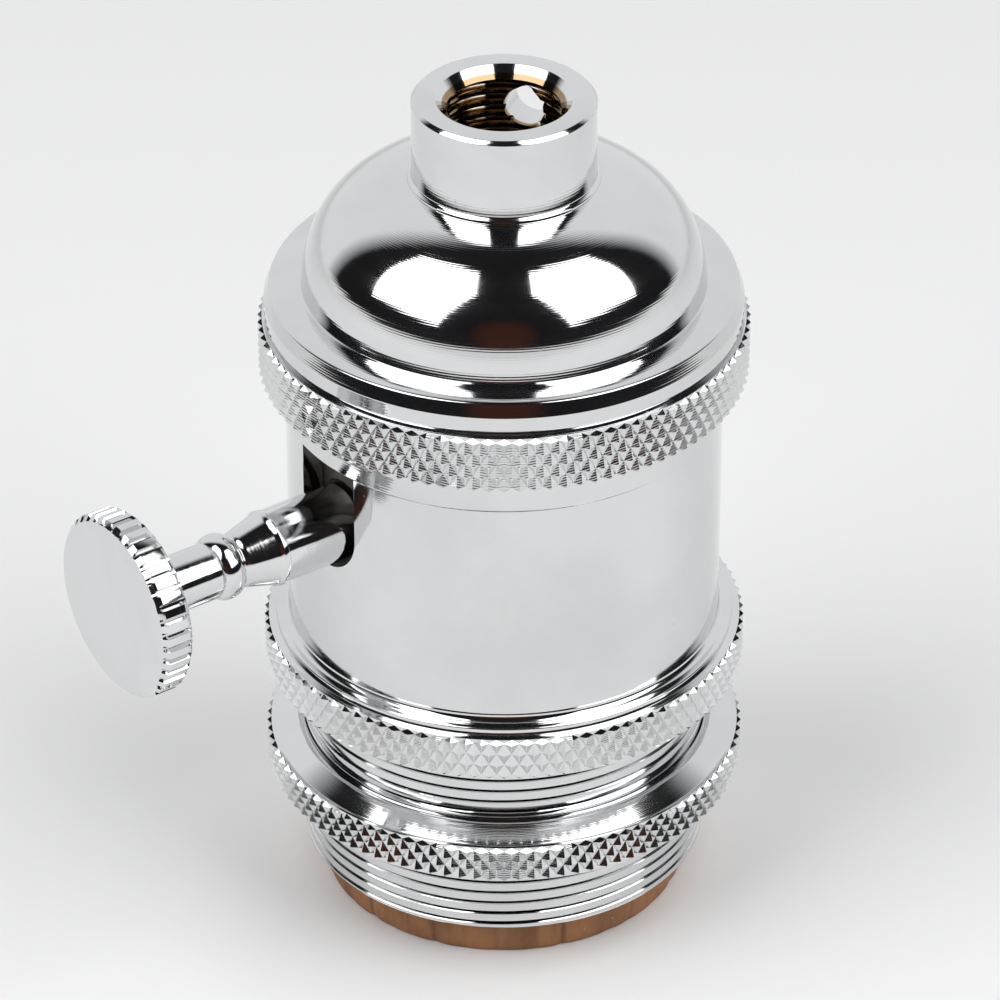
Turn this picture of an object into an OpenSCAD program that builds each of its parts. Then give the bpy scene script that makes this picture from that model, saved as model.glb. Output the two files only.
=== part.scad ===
// Turn knob lamp socket, standing on the rim of its fibre liner with the cord neck up.
// The origin is the centre of the lamp thread's mouth, +Z is up and the knob points along -X.

/* [Lamp thread] */
// Major diameter of the thread that the lamp screws into
lamp_thread_d = 26.6; // [25.6:0.1:28.6]
// Depth of the lamp thread's form
lamp_thread_depth = 1.1; // [0.8:0.05:1.3]
// Pitch of the lamp thread
lamp_thread_pitch = 3.63; // [3.2:0.01:4]
// Length of the threaded shell along the axis
lamp_thread_h = 22; // [19:0.1:25]
// Thickness of the pressed brass sheet
sheet_t = 0.4; // [0.3:0.05:0.6]

/* [Fibre liner] */
// Space between the threaded shell and the liner
liner_gap = 0.65; // [0.4:0.05:1.2]
// Thickness of the fibre
liner_wall = 0.8; // [0.5:0.05:1.2]
// How far the liner stands out below the metal skirt
liner_out = 3.3; // [2:0.1:4]
// How far the liner's rim curls inward
liner_curl = 0.6; // [0.2:0.05:0.8]
// Height of the curl
liner_curl_h = 2.2; // [1:0.1:2.6]
// Number of folds round the rim
liner_folds = 14; // [6:1:24]
// Width of a fold line
fold_w = 0.3; // [0.2:0.05:0.6]

/* [Skirt] */
// Length of the threaded skirt below the flange
skirt_h = 17; // [14:0.1:20]
// Thickness of metal under the skirt's thread
skirt_wall = 0.6; // [0.4:0.05:1.2]
// Pitch of the skirt's thread
skirt_pitch = 1; // [0.8:0.05:1.5]
// Depth of the skirt's thread
skirt_thread_depth = 0.55; // [0.3:0.05:0.8]
// Width of a thread groove at its open side
groove_w = 0.5; // [0.3:0.05:0.65]

/* [Shell] */
// Thickness of the shell's plain wall
body_wall = 1.8; // [1.4:0.05:2.6]
// Height of the plain wall between the flange and the cap
body_h = 19.2; // [17:0.1:24]
// Width of the step inside the shell that the switch body sits on
ledge_w = 0.35; // [0.25:0.05:0.6]
// Thickness of metal under the shell's top thread
top_wall = 0.45; // [0.35:0.05:0.8]
// Length of the shell's top thread, inside the cap
top_thread_h = 6.1; // [4.5:0.1:6.4]
// Width of the slot for the knob's stem
slot_w = 7; // [6.4:0.1:9]
// Width of the bevel round the slot
slot_bevel = 0.25; // [0.1:0.05:0.4]
// How far the knurled flange stands out from the wall
flange_out = 2.1; // [1.4:0.1:3]
// Height of the flange's knurled edge
flange_h = 3.7; // [3:0.1:5]
// Height of the steps between the flange and the wall
flange_step_h = 1.2; // [0.8:0.1:1.6]

/* [Knurling] */
// Distance round the edge from one tooth to the next on the cap and the flange
knurl_pitch = 1.22; // [1:0.02:1.6]
// Distance round the edge from one tooth to the next on the ring
ring_knurl_pitch = 1.36; // [1.1:0.02:1.8]
// Depth of the knurling
knurl_depth = 0.42; // [0.2:0.02:0.5]
// Height of the bevel along a knurled edge
knurl_bevel = 0.35; // [0.2:0.05:0.6]

/* [Shade ring] */
// Gap between the flange and the ring, where a shade is held
ring_gap = 5.8; // [3:0.1:8]
// Height of the ring's knurled edge
ring_knurl_h = 3.2; // [2.6:0.1:4.5]
// Width of the ring
ring_w = 3.05; // [2:0.05:4]
// Rise of the ring's sloping top face
ring_slope_h = 1; // [0.6:0.1:1.6]
// Width of the ring's flat inner edge
ring_land_w = 0.65; // [0.4:0.05:1]

/* [Cap] */
// How far the knurled edge stands out from the shell's wall
cap_out = 2.1; // [1.4:0.1:3]
// Height of the cap's knurled edge
cap_knurl_h = 4.8; // [4:0.1:6]
// Height of the smooth lip under the knurling
lip_h = 2.8; // [2:0.1:3.4]
// How far the lip stands out from the shell's wall
lip_out = 0.3; // [0.2:0.05:0.6]
// Height of the groove over the knurling
cap_groove_h = 0.5; // [0.3:0.05:0.7]
// Height of the plain band over the groove
cap_band_h = 1.2; // [0.8:0.1:1.6]
// Height of the step over the band
cap_step_h = 1; // [0.6:0.1:1.4]
// Width of the step over the band
cap_step_w = 0.5; // [0.3:0.05:1]
// Rise of the rounded shoulder inside the step
shoulder_h = 0.35; // [0.2:0.05:0.6]
// Height of the riser at the dome's foot
riser_h = 0.45; // [0.3:0.05:1]
// Width of the shoulder
shoulder_w = 2.7; // [1.6:0.05:3.2]
// Full height of the dome's curve
dome_rise = 9.5; // [8:0.05:11]
// Fullness of the dome's curve, where 2 is an ellipse
dome_power = 2.35; // [2:0.05:2.8]
// Thickness of the dome
dome_wall = 1.6; // [1.2:0.05:2.2]

/* [Cord neck] */
// Outside diameter of the neck
neck_d = 14.5; // [13:0.1:16]
// Height of the neck over the dome
neck_h = 6.9; // [6.4:0.1:9]
// Width of the bevel round the neck's rim
neck_bevel = 0.3; // [0.1:0.05:0.5]
// Inside diameter of the neck's thread, at its crests
neck_bore_d = 9; // [8:0.1:10]
// Pitch of the neck's thread
neck_pitch = 1; // [0.8:0.05:1.5]
// Depth of the neck's thread
neck_thread_depth = 0.5; // [0.3:0.05:0.6]
// Depth of the countersink over the thread
neck_sink_h = 0.9; // [0.4:0.1:1.2]
// Diameter of the set screw's hole
set_hole_d = 3.3; // [2.4:0.1:4]
// Distance of the set screw's hole below the rim
set_hole_drop = 3.2; // [2.6:0.1:4]
// Direction of the set screw's hole round the neck
set_hole_turn = 33; // [0:1:360]

/* [Knob] */
// Distance of the knob's axis below the cap's lip
knob_drop = 6; // [5:0.1:8]
// Diameter of the knob's disc
knob_d = 15; // [12:0.1:20]
// Thickness of the disc
knob_t = 2.7; // [2.2:0.1:4.5]
// Number of teeth round the disc
knob_teeth = 40; // [24:1:60]
// Depth of the teeth
knob_tooth_depth = 0.45; // [0.2:0.05:0.8]
// Width of the bevel round the disc's face
knob_bevel = 0.45; // [0.1:0.05:0.6]
// Distance from the shell's wall to the back of the disc
knob_reach = 17.2; // [16:0.1:24]
// Diameter of the stem where it enters the shell
stem_d = 6; // [5:0.1:6.6]
// Length of the plain stem outside the shell
stem_plain_h = 5.7; // [3:0.1:7]
// Length of the taper beyond the plain stem
stem_taper_h = 3; // [2.6:0.1:4.2]
// Diameter of the groove between the taper and the collar
stem_groove_d = 4.1; // [4:0.05:5]
// Diameter of the round collar
collar_d = 5.4; // [5:0.1:6.5]
// Width of the round collar
collar_w = 2.1; // [1.6:0.1:3]
// Diameter of the neck behind the disc
knob_neck_d = 4.6; // [4.2:0.1:5.5]
// Diameter of the flare at the disc's back
knob_flare_d = 6.4; // [5.5:0.1:8]

/* [Switch] */
// Diameter of the steel shaft
shaft_d = 3; // [2.6:0.1:3.2]
// Diameter of the insulating rotor
rotor_d = 11.6; // [10.5:0.1:12]
// Space between the rotor and its chamber
chamber_gap = 0.6; // [0.4:0.05:0.9]
// Thickness of the switch body under the chamber
floor_t = 5.6; // [4.4:0.1:7]
// Height of the cover over the knob's axis
cover_h = 8.1; // [7.8:0.1:9.4]
// Thickness of the terminals and contacts
contact_t = 0.5; // [0.4:0.05:0.7]
// Diameter of the terminal screws' heads
terminal_head_d = 6; // [5:0.1:6.6]
// Distance of the terminal screws from the edge of the switch body
terminal_in = 6.9; // [6.3:0.1:7.3]

/* [Hidden] */

$fn = 96;

// Clearances: pieces that lie in each other, and pieces that turn in each other
fit_gap = 0.1;
run_gap = 0.05;
over = 1;

// Distance of the inner ledge below the slot, and the band's step in from the knurling
ledge_drop = 0.65;
band_in = 0.55;

// Radii, worked out from the lamp thread outward
lamp_r = lamp_thread_d / 2;
lamp_crest_r = lamp_r - lamp_thread_depth;
screw_shell_r = lamp_r + sheet_t;
liner_bore_r = screw_shell_r + liner_gap;
liner_r = liner_bore_r + liner_wall;
skirt_bore_r = liner_r + fit_gap;
skirt_root_r = skirt_bore_r + skirt_wall;
skirt_r = skirt_root_r + skirt_thread_depth;
shell_bore_r = skirt_bore_r + ledge_w;
body_r = shell_bore_r + body_wall;
top_root_r = shell_bore_r + top_wall;
top_r = top_root_r + skirt_thread_depth;
flange_r = body_r + flange_out;
ring_bore_r = skirt_r + run_gap;
ring_r = ring_bore_r + ring_w;
lip_r = body_r + lip_out;
cap_r = body_r + cap_out;
switch_low_r = liner_bore_r - fit_gap;
switch_r = shell_bore_r - fit_gap;

// Heights, worked out from the lamp thread's mouth
chamber_r = rotor_d / 2 + chamber_gap;
switch_z = lamp_thread_h + sheet_t;
axis_z = switch_z + floor_t + chamber_r;
cover_z = axis_z + cover_h;
lip_z = axis_z + knob_drop;
body_z = lip_z - body_h;
flange_top_z = body_z - flange_step_h;
flange_z = flange_top_z - flange_h;
skirt_z = flange_z - skirt_h;
rim_z = skirt_z - liner_out;
ring_top_z = flange_z - ring_gap;
ring_edge_z = ring_top_z - ring_slope_h;
ring_z = ring_edge_z - ring_knurl_h;
ledge_z = axis_z - slot_w / 2 - ledge_drop;
top_z = lip_z + top_thread_h;
cap_knurl_z = lip_z + lip_h;
cap_groove_z = cap_knurl_z + cap_knurl_h;
cap_band_z = cap_groove_z + cap_groove_h;
cap_step_z = cap_band_z + cap_band_h;
shoulder_z = cap_step_z + cap_step_h;
riser_z = shoulder_z + shoulder_h;
dome_z = riser_z + riser_h;
neck_r = neck_d / 2;
band_r = cap_r - band_in;
shoulder_r = band_r - cap_step_w;
dome_r = shoulder_r - shoulder_w;
neck_z = dome_z + dome_height(dome_r, dome_rise, neck_r);
neck_top_z = neck_z + neck_h;

// Cap
lip_bevel = 0.2;
cap_groove_w = 0.6;
cap_inner_r = dome_r - dome_wall;
cap_shoulder_z = top_z + 2 * fit_gap;
neck_bore_r = neck_bore_d / 2;
neck_sink_r = neck_bore_r + neck_sink_h;
inner_rise = dome_rise - dome_wall;
neck_bore_z = dome_z + dome_height(cap_inner_r, inner_rise, neck_bore_r);

// Shell
fillet_r = 0.6;
flange_seat_w = 0.5;
end_bevel = 0.3;
plain_h = 0.6;

// Knob, measured outward from the shell's wall
stem_r = stem_d / 2;
stem_ridge = 0.1;
stem_ridge_w = 0.4;
stem_groove_w = 0.3;
stem_in = body_r - switch_r - run_gap - fit_gap;
stem_bore_h = 6;
taper_end = stem_plain_h + stem_taper_h;
collar_mid = taper_end + stem_groove_w + collar_w / 2;
neck_start = collar_mid + collar_w / 2;
flare_h = 1.2;
stem_bevel = 0.2;

// Switch, measured along the knob's axis from the socket's axis
chamber_x0 = -7.4;
chamber_x1 = 6.6;
shaft_r = shaft_d / 2;
rotor_r = rotor_d / 2;
rotor_x0 = -6.9;
cam_x0 = 1.6;
cam_x1 = 5;
cam_flat = 8.8;
rotor_contact_x = -0.3;
rotor_contact_t = 0.6;
rotor_core_wall = 1.6;
rotor_core_r = shaft_r + rotor_core_wall;
contact_hub_w = 1;
clip_x = 5.3;
clip_t = 0.5;
clip_w = 1.4;
clip_r = shaft_r + clip_w;
journal_x1 = 9.2;
bushing_wall = 1.7;
bushing_r = shaft_r + bushing_wall;
bushing_flange_w = 1;
bushing_flange_r = bushing_r + bushing_flange_w;
bushing_flange_t = 0.4;
spring_w = 3;
spring_l = 9.6;
spring_t = 0.3;
spring_gap = 0.15;
spring_z = axis_z + rotor_r + spring_gap;
spring_pocket_gap = 0.25;

// Terminals and contacts
contact_w = 2.6;
finger_x = rotor_contact_x + rotor_contact_t / 2;
contact_gap = 0.2;
finger_y = rotor_r + contact_gap;
finger_low = 1.6;
plate_w = 6.4;
plate_out = 3;
terminal_y = switch_r - terminal_in;
plate_y0 = finger_y - fit_gap;
plate_y1 = terminal_y + plate_out;
strap_in = 0.9;
strap_y = switch_low_r - strap_in;
strap_w = 5;
barrier_t = 2.4;
barrier_h = 3.4;
head_h = 2.1;
screw_r = 1.5;
screw_l = 5;
driver_slot_w = 0.8;
driver_slot_h = 0.9;
body_screw_x = 9;
body_screw_y = 7.2;
body_screw_r = 1.2;
body_screw_head_r = 2.1;
body_screw_head_h = 1.3;
body_screw_bite = 7;
body_screw_l = cover_h + body_screw_bite;
rivet_in = 1.4;
rivet_y = lamp_crest_r - rivet_in;
rivet_r = 0.9;
rivet_head_r = 1.3;
rivet_head_h = 0.5;
rivet_l = 3.2;
thread_land_w = 0.9;
thread_last_h = 0.3;
collar_step = 0.35;
lamp_collar_r = lamp_crest_r + collar_step;
lamp_flange_w = 3.2;
flange_hole_r = lamp_crest_r - lamp_flange_w;
boss_gap = 0.3;
boss_r = flange_hole_r - boss_gap;
boss_h = 1.2;
load_foot_h = 3.2;
load_foot_z = switch_z + load_foot_h;
load_rivet_y = 5.2;
load_foot_y0 = 3.9;
load_top = 2.4;
tongue_w = 5;
tongue_drop = 1.8;
tongue_end = 1.8;
tongue_tip = 1;
tongue_tail = 1.7;
tongue_bend = 1.6;

// Points along an arc of an ellipse, from one angle to another
function arc(x, z, rx, rz, from, to, steps) =
    [for (i = [0:steps]) let (a = from + (to - from) * i / steps) [x + rx * cos(a), z + rz * sin(a)]];

// Height of the dome's curve over its foot, where its radius is r
function dome_height(foot, rise, r) = rise * pow(1 - pow(r / foot, dome_power), 1 / dome_power);

// Points up the dome's curve, from its foot to where its radius is end
function dome_points(foot, rise, end, steps) =
    let (last = acos(pow(end / foot, dome_power / 2)))
    [for (i = [0:steps]) let (a = last * i / steps)
        [foot * pow(cos(a), 2 / dome_power), dome_z + rise * pow(sin(a), 2 / dome_power)]];

// Outline of a thread's crests and grooves, from z0 up to z1; a negative depth cuts outward
function thread_points(crest, depth, pitch, width, z0, z1) =
    let (turns = floor((z1 - z0 - width) / pitch), start = z0 + (z1 - z0 - turns * pitch) / 2)
    [for (i = [0:turns])
        let (z = start + i * pitch)
        each [
            [crest, z - width / 2], [crest - depth, z - width / 8],
            [crest - depth, z + width / 8], [crest, z + width / 2]
        ]];

// Solid disc with a diamond-knurled edge: rows of peaks, every second one between two of the row below
module knurled_disc(r, h, pitch) {
    teeth = round(2 * PI * r / pitch);
    cols = 2 * teeth;
    inner_h = h - 2 * knurl_bevel;
    rows = max(1, round(inner_h / (pitch * cos(30))));
    root = r - knurl_depth;
    levels = [0, for (j = [0:rows]) knurl_bevel + j * inner_h / rows, h];
    last = len(levels) - 1;
    points = [for (j = [0:last], i = [0:cols - 1])
        let (edge = j == 0 || j == last, peak = (i + j) % 2 == 0, rr = !edge && peak ? r : root)
        [rr * cos(i * 360 / cols), rr * sin(i * 360 / cols), levels[j]]];
    sides = [for (j = [0:last - 1], i = [0:cols - 1])
        let (a = j * cols + i, b = j * cols + (i + 1) % cols, c = b + cols, d = a + cols)
        each (i + j) % 2 == 0 ? [[a, d, b], [b, d, c]] : [[a, c, b], [a, d, c]]];
    floor_face = [for (i = [0:cols - 1]) i];
    roof_face = [for (i = [cols - 1:-1:0]) last * cols + i];
    polyhedron(points = points, faces = concat([floor_face, roof_face], sides));
}

// Turned solid from an outline of [radius, height] points
module turned(points) {
    rotate_extrude() polygon(points);
}

// Cylinder from z0 to z1
module post(r, z0, z1) {
    translate([0, 0, z0]) cylinder(r = r, h = z1 - z0);
}

// Block between two corners
module block(low, high) {
    translate(low) cube(high - low);
}

// Places a shape drawn along +Z onto the knob's axis, with its base at x = start, pointing along +X
module along_axis(start) {
    translate([start, 0, axis_z]) rotate([0, 90, 0]) children();
}

// Places a shape drawn along +Z so that it points outward along the knob, from the shell's wall
module along_knob() {
    translate([-body_r, 0, axis_z]) rotate([0, -90, 0]) children();
}

module cap_outer() {
    turned(concat(
        [
            [0, lip_z], [lip_r - lip_bevel, lip_z], [lip_r, lip_z + lip_bevel],
            [lip_r, cap_knurl_z + over], [band_r - cap_groove_w, cap_knurl_z + over],
            [band_r - cap_groove_w, cap_groove_z], [band_r, cap_band_z], [band_r, cap_step_z]
        ],
        arc(band_r, shoulder_z, cap_step_w, cap_step_h, -90, -180, 4),
        arc(dome_r, shoulder_z, shoulder_w, shoulder_h, 0, 90, 5),
        dome_points(dome_r, dome_rise, neck_r, 12),
        [[neck_r, neck_top_z - neck_bevel], [neck_r - neck_bevel, neck_top_z], [0, neck_top_z]]
    ));
    translate([0, 0, cap_knurl_z]) knurled_disc(cap_r, cap_knurl_h, knurl_pitch);
}

// Hollow of the cap: the threaded socket for the shell, the dome's inside and the neck's bore
module cap_inner() {
    turned(concat(
        [[0, lip_z - over], [top_r + run_gap, lip_z - over], [top_r + run_gap, cap_shoulder_z]],
        dome_points(cap_inner_r, inner_rise, neck_bore_r, 10),
        thread_points(neck_bore_r, -neck_thread_depth, neck_pitch, 0.7 * neck_pitch,
            neck_bore_z, neck_top_z - neck_sink_h),
        [
            [neck_bore_r, neck_top_z - neck_sink_h], [neck_sink_r, neck_top_z],
            [neck_sink_r, neck_top_z + over], [0, neck_top_z + over]
        ]
    ));
}

module cap() {
    color("gainsboro")
    difference() {
        cap_outer();
        cap_inner();
        rotate([0, 0, set_hole_turn])
        translate([0, 0, neck_top_z - set_hole_drop])
        rotate([0, 90, 0])
        cylinder(d = set_hole_d, h = neck_r + over);
    }
}

module shell_outer() {
    turned(concat(
        [[0, skirt_z], [skirt_root_r, skirt_z], [skirt_r, skirt_z + end_bevel]],
        thread_points(skirt_r, skirt_thread_depth, skirt_pitch, groove_w,
            skirt_z + end_bevel, flange_z - plain_h),
        [
            [skirt_r, flange_top_z], [body_r + fillet_r + flange_seat_w, flange_top_z],
            [body_r + fillet_r + flange_seat_w, body_z - fillet_r],
            [body_r + fillet_r, body_z - fillet_r]
        ],
        arc(body_r + fillet_r, body_z, fillet_r, fillet_r, -90, -180, 4),
        [[body_r, lip_z - run_gap], [top_root_r, lip_z - run_gap]],
        thread_points(top_r, skirt_thread_depth, skirt_pitch, groove_w, lip_z + plain_h, top_z - end_bevel),
        [[top_r, top_z - end_bevel], [top_root_r, top_z], [0, top_z]]
    ));
    translate([0, 0, flange_z]) knurled_disc(flange_r, flange_h, knurl_pitch);
}

// Outline of the slot, seen along the knob's axis, with its open top over the shell
module slot_outline(w) {
    circle(d = w);
    translate([0, -w / 2]) square([top_z - axis_z + over, w]);
}

module shell() {
    color("gainsboro")
    difference() {
        shell_outer();
        post(skirt_bore_r, skirt_z - over, ledge_z);
        post(shell_bore_r, ledge_z, top_z + over);
        along_knob()
        translate([0, 0, -2 * body_wall])
        linear_extrude(2 * body_wall + over)
        slot_outline(slot_w);
        along_knob()
        translate([0, 0, -slot_bevel])
        linear_extrude(over)
        slot_outline(slot_w + 2 * slot_bevel);
    }
}

module shade_ring() {
    slope_r = ring_r - knurl_depth;
    color("gainsboro")
    difference() {
        union() {
            translate([0, 0, ring_z]) knurled_disc(ring_r, ring_knurl_h, ring_knurl_pitch);
            turned([
                [0, ring_z + over], [slope_r - end_bevel, ring_z + over], [slope_r - end_bevel, ring_edge_z],
                [ring_bore_r + ring_land_w, ring_top_z], [0, ring_top_z]
            ]);
        }
        post(ring_bore_r, ring_z - over, ring_top_z + over);
    }
}

// The liner's rim curls inward, and fold lines cut across it
module fibre_liner() {
    curl_r = liner_r - liner_curl;
    color("peru")
    difference() {
        turned([
            [liner_bore_r - liner_curl, rim_z], [curl_r, rim_z], [liner_r, rim_z + liner_curl_h],
            [liner_r, ledge_z - 2 * fit_gap], [liner_bore_r, ledge_z - 2 * fit_gap],
            [liner_bore_r, rim_z + liner_curl_h]
        ]);
        for (i = [0:liner_folds - 1])
            rotate([0, 0, i * 360 / liner_folds])
            block([curl_r - liner_wall / 2, -fold_w / 2, rim_z - over],
                [liner_r + over, fold_w / 2, rim_z + liner_curl_h / 2]);
    }
}

// Disc with flat-bottomed teeth, drawn from its back at z = 0
module knob_disc() {
    root = knob_d / 2 - knob_tooth_depth;
    tooth_w = PI * knob_d / knob_teeth;
    difference() {
        turned([
            [0, 0], [knob_d / 2 - knob_bevel, 0], [knob_d / 2, knob_bevel],
            [knob_d / 2, knob_t - knob_bevel], [knob_d / 2 - knob_bevel, knob_t], [0, knob_t]
        ]);
        for (i = [0:knob_teeth - 1])
            rotate([0, 0, i * 360 / knob_teeth])
            translate([0, 0, -over])
            linear_extrude(knob_t + 2 * over)
            polygon([
                [root, -tooth_w / 12], [root, tooth_w / 12],
                [knob_d / 2 + knob_tooth_depth, tooth_w / 2], [knob_d / 2 + knob_tooth_depth, -tooth_w / 2]
            ]);
    }
}

module turn_knob() {
    groove_r = stem_groove_d / 2;
    neck_radius = knob_neck_d / 2;
    color("silver")
    along_knob()
    difference() {
        union() {
            turned(concat(
                [
                    [0, -stem_in], [stem_r - stem_bevel, -stem_in], [stem_r, stem_bevel - stem_in],
                    [stem_r, stem_plain_h - stem_ridge_w], [stem_r + stem_ridge, stem_plain_h - stem_ridge_w],
                    [stem_r + stem_ridge, stem_plain_h], [groove_r, taper_end],
                    [groove_r, taper_end + stem_groove_w]
                ],
                arc(groove_r, collar_mid, collar_d / 2 - groove_r, collar_w / 2, -90, 90, 8),
                [
                    [neck_radius, neck_start], [neck_radius, knob_reach - flare_h],
                    [knob_flare_d / 2, knob_reach], [knob_flare_d / 2, knob_reach + over],
                    [0, knob_reach + over]
                ]
            ));
            translate([0, 0, knob_reach]) knob_disc();
        }
        translate([0, 0, -stem_in - over]) cylinder(r = shaft_r, h = stem_bore_h + over);
    }
}

module switch_shaft() {
    color("silver")
    along_axis(-body_r + stem_in - stem_bore_h)
    cylinder(r = shaft_r, h = body_r - stem_in + stem_bore_h + journal_x1);
}

module shaft_bushing() {
    out_x = -switch_r;
    color("gold")
    difference() {
        union() {
            along_axis(out_x) cylinder(r = bushing_r, h = chamber_x0 - out_x + bushing_flange_t);
            along_axis(chamber_x0 - bushing_flange_t) cylinder(r = bushing_flange_r, h = bushing_flange_t);
        }
        along_axis(out_x - over) cylinder(r = shaft_r + run_gap, h = chamber_x0 - out_x + 2 * over);
        along_axis(chamber_x0) cylinder(r = bushing_flange_r, h = over);
    }
}

// Room that both halves of the switch body leave for the rotor, the shaft and its bushing
module chamber() {
    along_axis(chamber_x0) cylinder(r = chamber_r, h = chamber_x1 - chamber_x0);
    along_axis(chamber_x0 - bushing_flange_t - run_gap)
    cylinder(r = bushing_flange_r + run_gap, h = bushing_flange_t + 2 * run_gap);
    along_axis(-switch_r - over) cylinder(r = bushing_r + run_gap, h = chamber_x0 + switch_r + over + run_gap);
    along_axis(0) cylinder(r = shaft_r + run_gap, h = journal_x1 + run_gap);
}

// Screw holes and the grooves for the contacts, through both halves of the switch body
module body_cuts() {
    for (s = [-1, 1]) {
        translate([s * body_screw_x, -s * body_screw_y, 0])
        post(body_screw_r + fit_gap, cover_z - body_screw_l - fit_gap, cover_z + over);
        translate([0, s * terminal_y, 0])
        post(screw_r + fit_gap, cover_z - screw_l - fit_gap, cover_z + over);
        translate([0, s * rivet_y, 0])
        post(rivet_r + fit_gap, switch_z - over, switch_z + rivet_l + fit_gap);
    }
    block([finger_x - contact_w / 2 - fit_gap, 0, axis_z - finger_low - fit_gap],
        [finger_x + contact_w / 2 + fit_gap, finger_y + contact_t + fit_gap, cover_z + over]);
    block([finger_x - contact_w / 2 - fit_gap, -finger_y - contact_t - fit_gap, load_foot_z - fit_gap],
        [finger_x + contact_w / 2 + fit_gap, fit_gap - load_foot_y0, axis_z + load_top + fit_gap]);
    translate([finger_x, -load_rivet_y, 0]) post(rivet_r + fit_gap, switch_z - boss_h - over, load_foot_z);
    block([-strap_w / 2 - fit_gap, -switch_r - over, switch_z - over],
        [strap_w / 2 + fit_gap, -strap_y + fit_gap, cover_z + over]);
    block([-strap_w / 2 - fit_gap, -strap_y - over, switch_z - over],
        [strap_w / 2 + fit_gap, -rivet_y + rivet_head_r + fit_gap, switch_z + contact_t + fit_gap]);
}

module switch_base() {
    color("#26211f")
    difference() {
        union() {
            post(boss_r, switch_z - boss_h, switch_z + over);
            post(switch_low_r, switch_z, ledge_z + over);
            post(switch_r, ledge_z, axis_z);
        }
        chamber();
        body_cuts();
    }
}

module switch_cover() {
    color("#26211f")
    difference() {
        union() {
            post(switch_r, axis_z, cover_z);
            intersection() {
                post(switch_low_r, axis_z, cover_z + barrier_h);
                block([-switch_r, -barrier_t / 2, axis_z], [switch_r, barrier_t / 2, cover_z + barrier_h]);
            }
        }
        chamber();
        body_cuts();
        block([cam_x0, -spring_l / 2 - spring_pocket_gap, axis_z],
            [cam_x1, spring_l / 2 + spring_pocket_gap, spring_z + spring_t + spring_pocket_gap]);
    }
}

// Drum with a groove for its contact, and a four-sided cam that the index spring presses on
module rotor() {
    color("saddlebrown")
    difference() {
        union() {
            along_axis(rotor_x0) cylinder(r = rotor_r, h = cam_x0 - rotor_x0);
            along_axis(cam_x0)
            linear_extrude(cam_x1 - cam_x0)
            intersection() {
                circle(r = rotor_r);
                square(cam_flat, center = true);
            }
        }
        along_axis(rotor_x0 - over) cylinder(r = shaft_r, h = cam_x1 - rotor_x0 + 2 * over);
        along_axis(rotor_contact_x)
        difference() {
            cylinder(r = rotor_r + over, h = rotor_contact_t);
            translate([0, 0, -over]) cylinder(r = rotor_core_r, h = rotor_contact_t + 2 * over);
        }
    }
}

module rotor_contact() {
    lug_w = 3;
    hub_r = rotor_core_r + contact_hub_w;
    color("goldenrod")
    along_axis(rotor_contact_x + run_gap)
    linear_extrude(rotor_contact_t - 2 * run_gap)
    difference() {
        union() {
            circle(r = hub_r);
            intersection() {
                circle(r = rotor_r + contact_gap / 2);
                square([lug_w, 2 * rotor_r + over], center = true);
            }
        }
        circle(r = rotor_core_r);
    }
}

module rotor_clip() {
    color("silver")
    along_axis(clip_x)
    linear_extrude(clip_t)
    difference() {
        circle(r = clip_r);
        circle(r = shaft_r);
        translate([0, -shaft_r / 2]) square([clip_r + over, shaft_r]);
    }
}

module index_spring() {
    mid_x = (cam_x0 + cam_x1) / 2;
    color("silver")
    block([mid_x - spring_w / 2, -spring_l / 2, spring_z],
        [mid_x + spring_w / 2, spring_l / 2, spring_z + spring_t]);
}

// Pressed shell with a round-rooted thread, a plain collar over it, and a flange at its top for the rivets
module screw_shell() {
    turns = floor((lamp_thread_h - thread_land_w) / lamp_thread_pitch);
    steps = 8;
    inner = [for (i = [0:turns - 1], k = [0:steps])
        [lamp_crest_r + lamp_thread_depth * sin(180 * k / steps),
            i * lamp_thread_pitch + thread_land_w + (lamp_thread_pitch - thread_land_w) * k / steps]];
    wall = [for (k = [len(inner) - 1:-1:0]) inner[k] + [sheet_t, 0]];
    last_z = turns * lamp_thread_pitch + thread_last_h;
    color("burlywood")
    difference() {
        turned(concat(
            [[lamp_crest_r, 0]], inner,
            [
                [lamp_crest_r, last_z], [lamp_collar_r, last_z + collar_step], [lamp_collar_r, lamp_thread_h],
                [flange_hole_r, lamp_thread_h], [flange_hole_r, switch_z], [lamp_collar_r + sheet_t, switch_z],
                [lamp_collar_r + sheet_t, last_z + collar_step], [lamp_crest_r + sheet_t, last_z]
            ],
            wall, [[lamp_crest_r + sheet_t, 0]]
        ));
        for (s = [-1, 1])
            translate([0, s * rivet_y, 0]) post(rivet_r, lamp_thread_h - over, switch_z + over);
    }
}

module screw_shell_rivets() {
    color("silver")
    for (s = [-1, 1])
        translate([0, s * rivet_y, 0]) {
            post(rivet_head_r, lamp_thread_h - rivet_head_h, lamp_thread_h);
            post(rivet_r, lamp_thread_h - rivet_head_h, switch_z + rivet_l);
        }
}

// Springy tongue under the switch body, bent down to meet the lamp
module centre_contact() {
    top = switch_z - boss_h;
    tail = -load_rivet_y - tongue_tail;
    bend = -load_rivet_y + tongue_bend;
    tip = tongue_end + tongue_tip;
    color("goldenrod")
    difference() {
        translate([finger_x - tongue_w / 2, 0, 0])
        rotate([90, 0, 90])
        linear_extrude(tongue_w)
        polygon([
            [tail, top], [tail, top - contact_t], [bend, top - contact_t],
            [-tongue_end, top - tongue_drop - contact_t], [tongue_end, top - tongue_drop - contact_t],
            [tip, top - tongue_drop], [tip, top - tongue_drop + contact_t],
            [tongue_end, top - tongue_drop], [-tongue_end, top - tongue_drop], [bend, top]
        ]);
        translate([finger_x, -load_rivet_y, 0]) post(rivet_r, top - over, top + over);
    }
}

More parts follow.
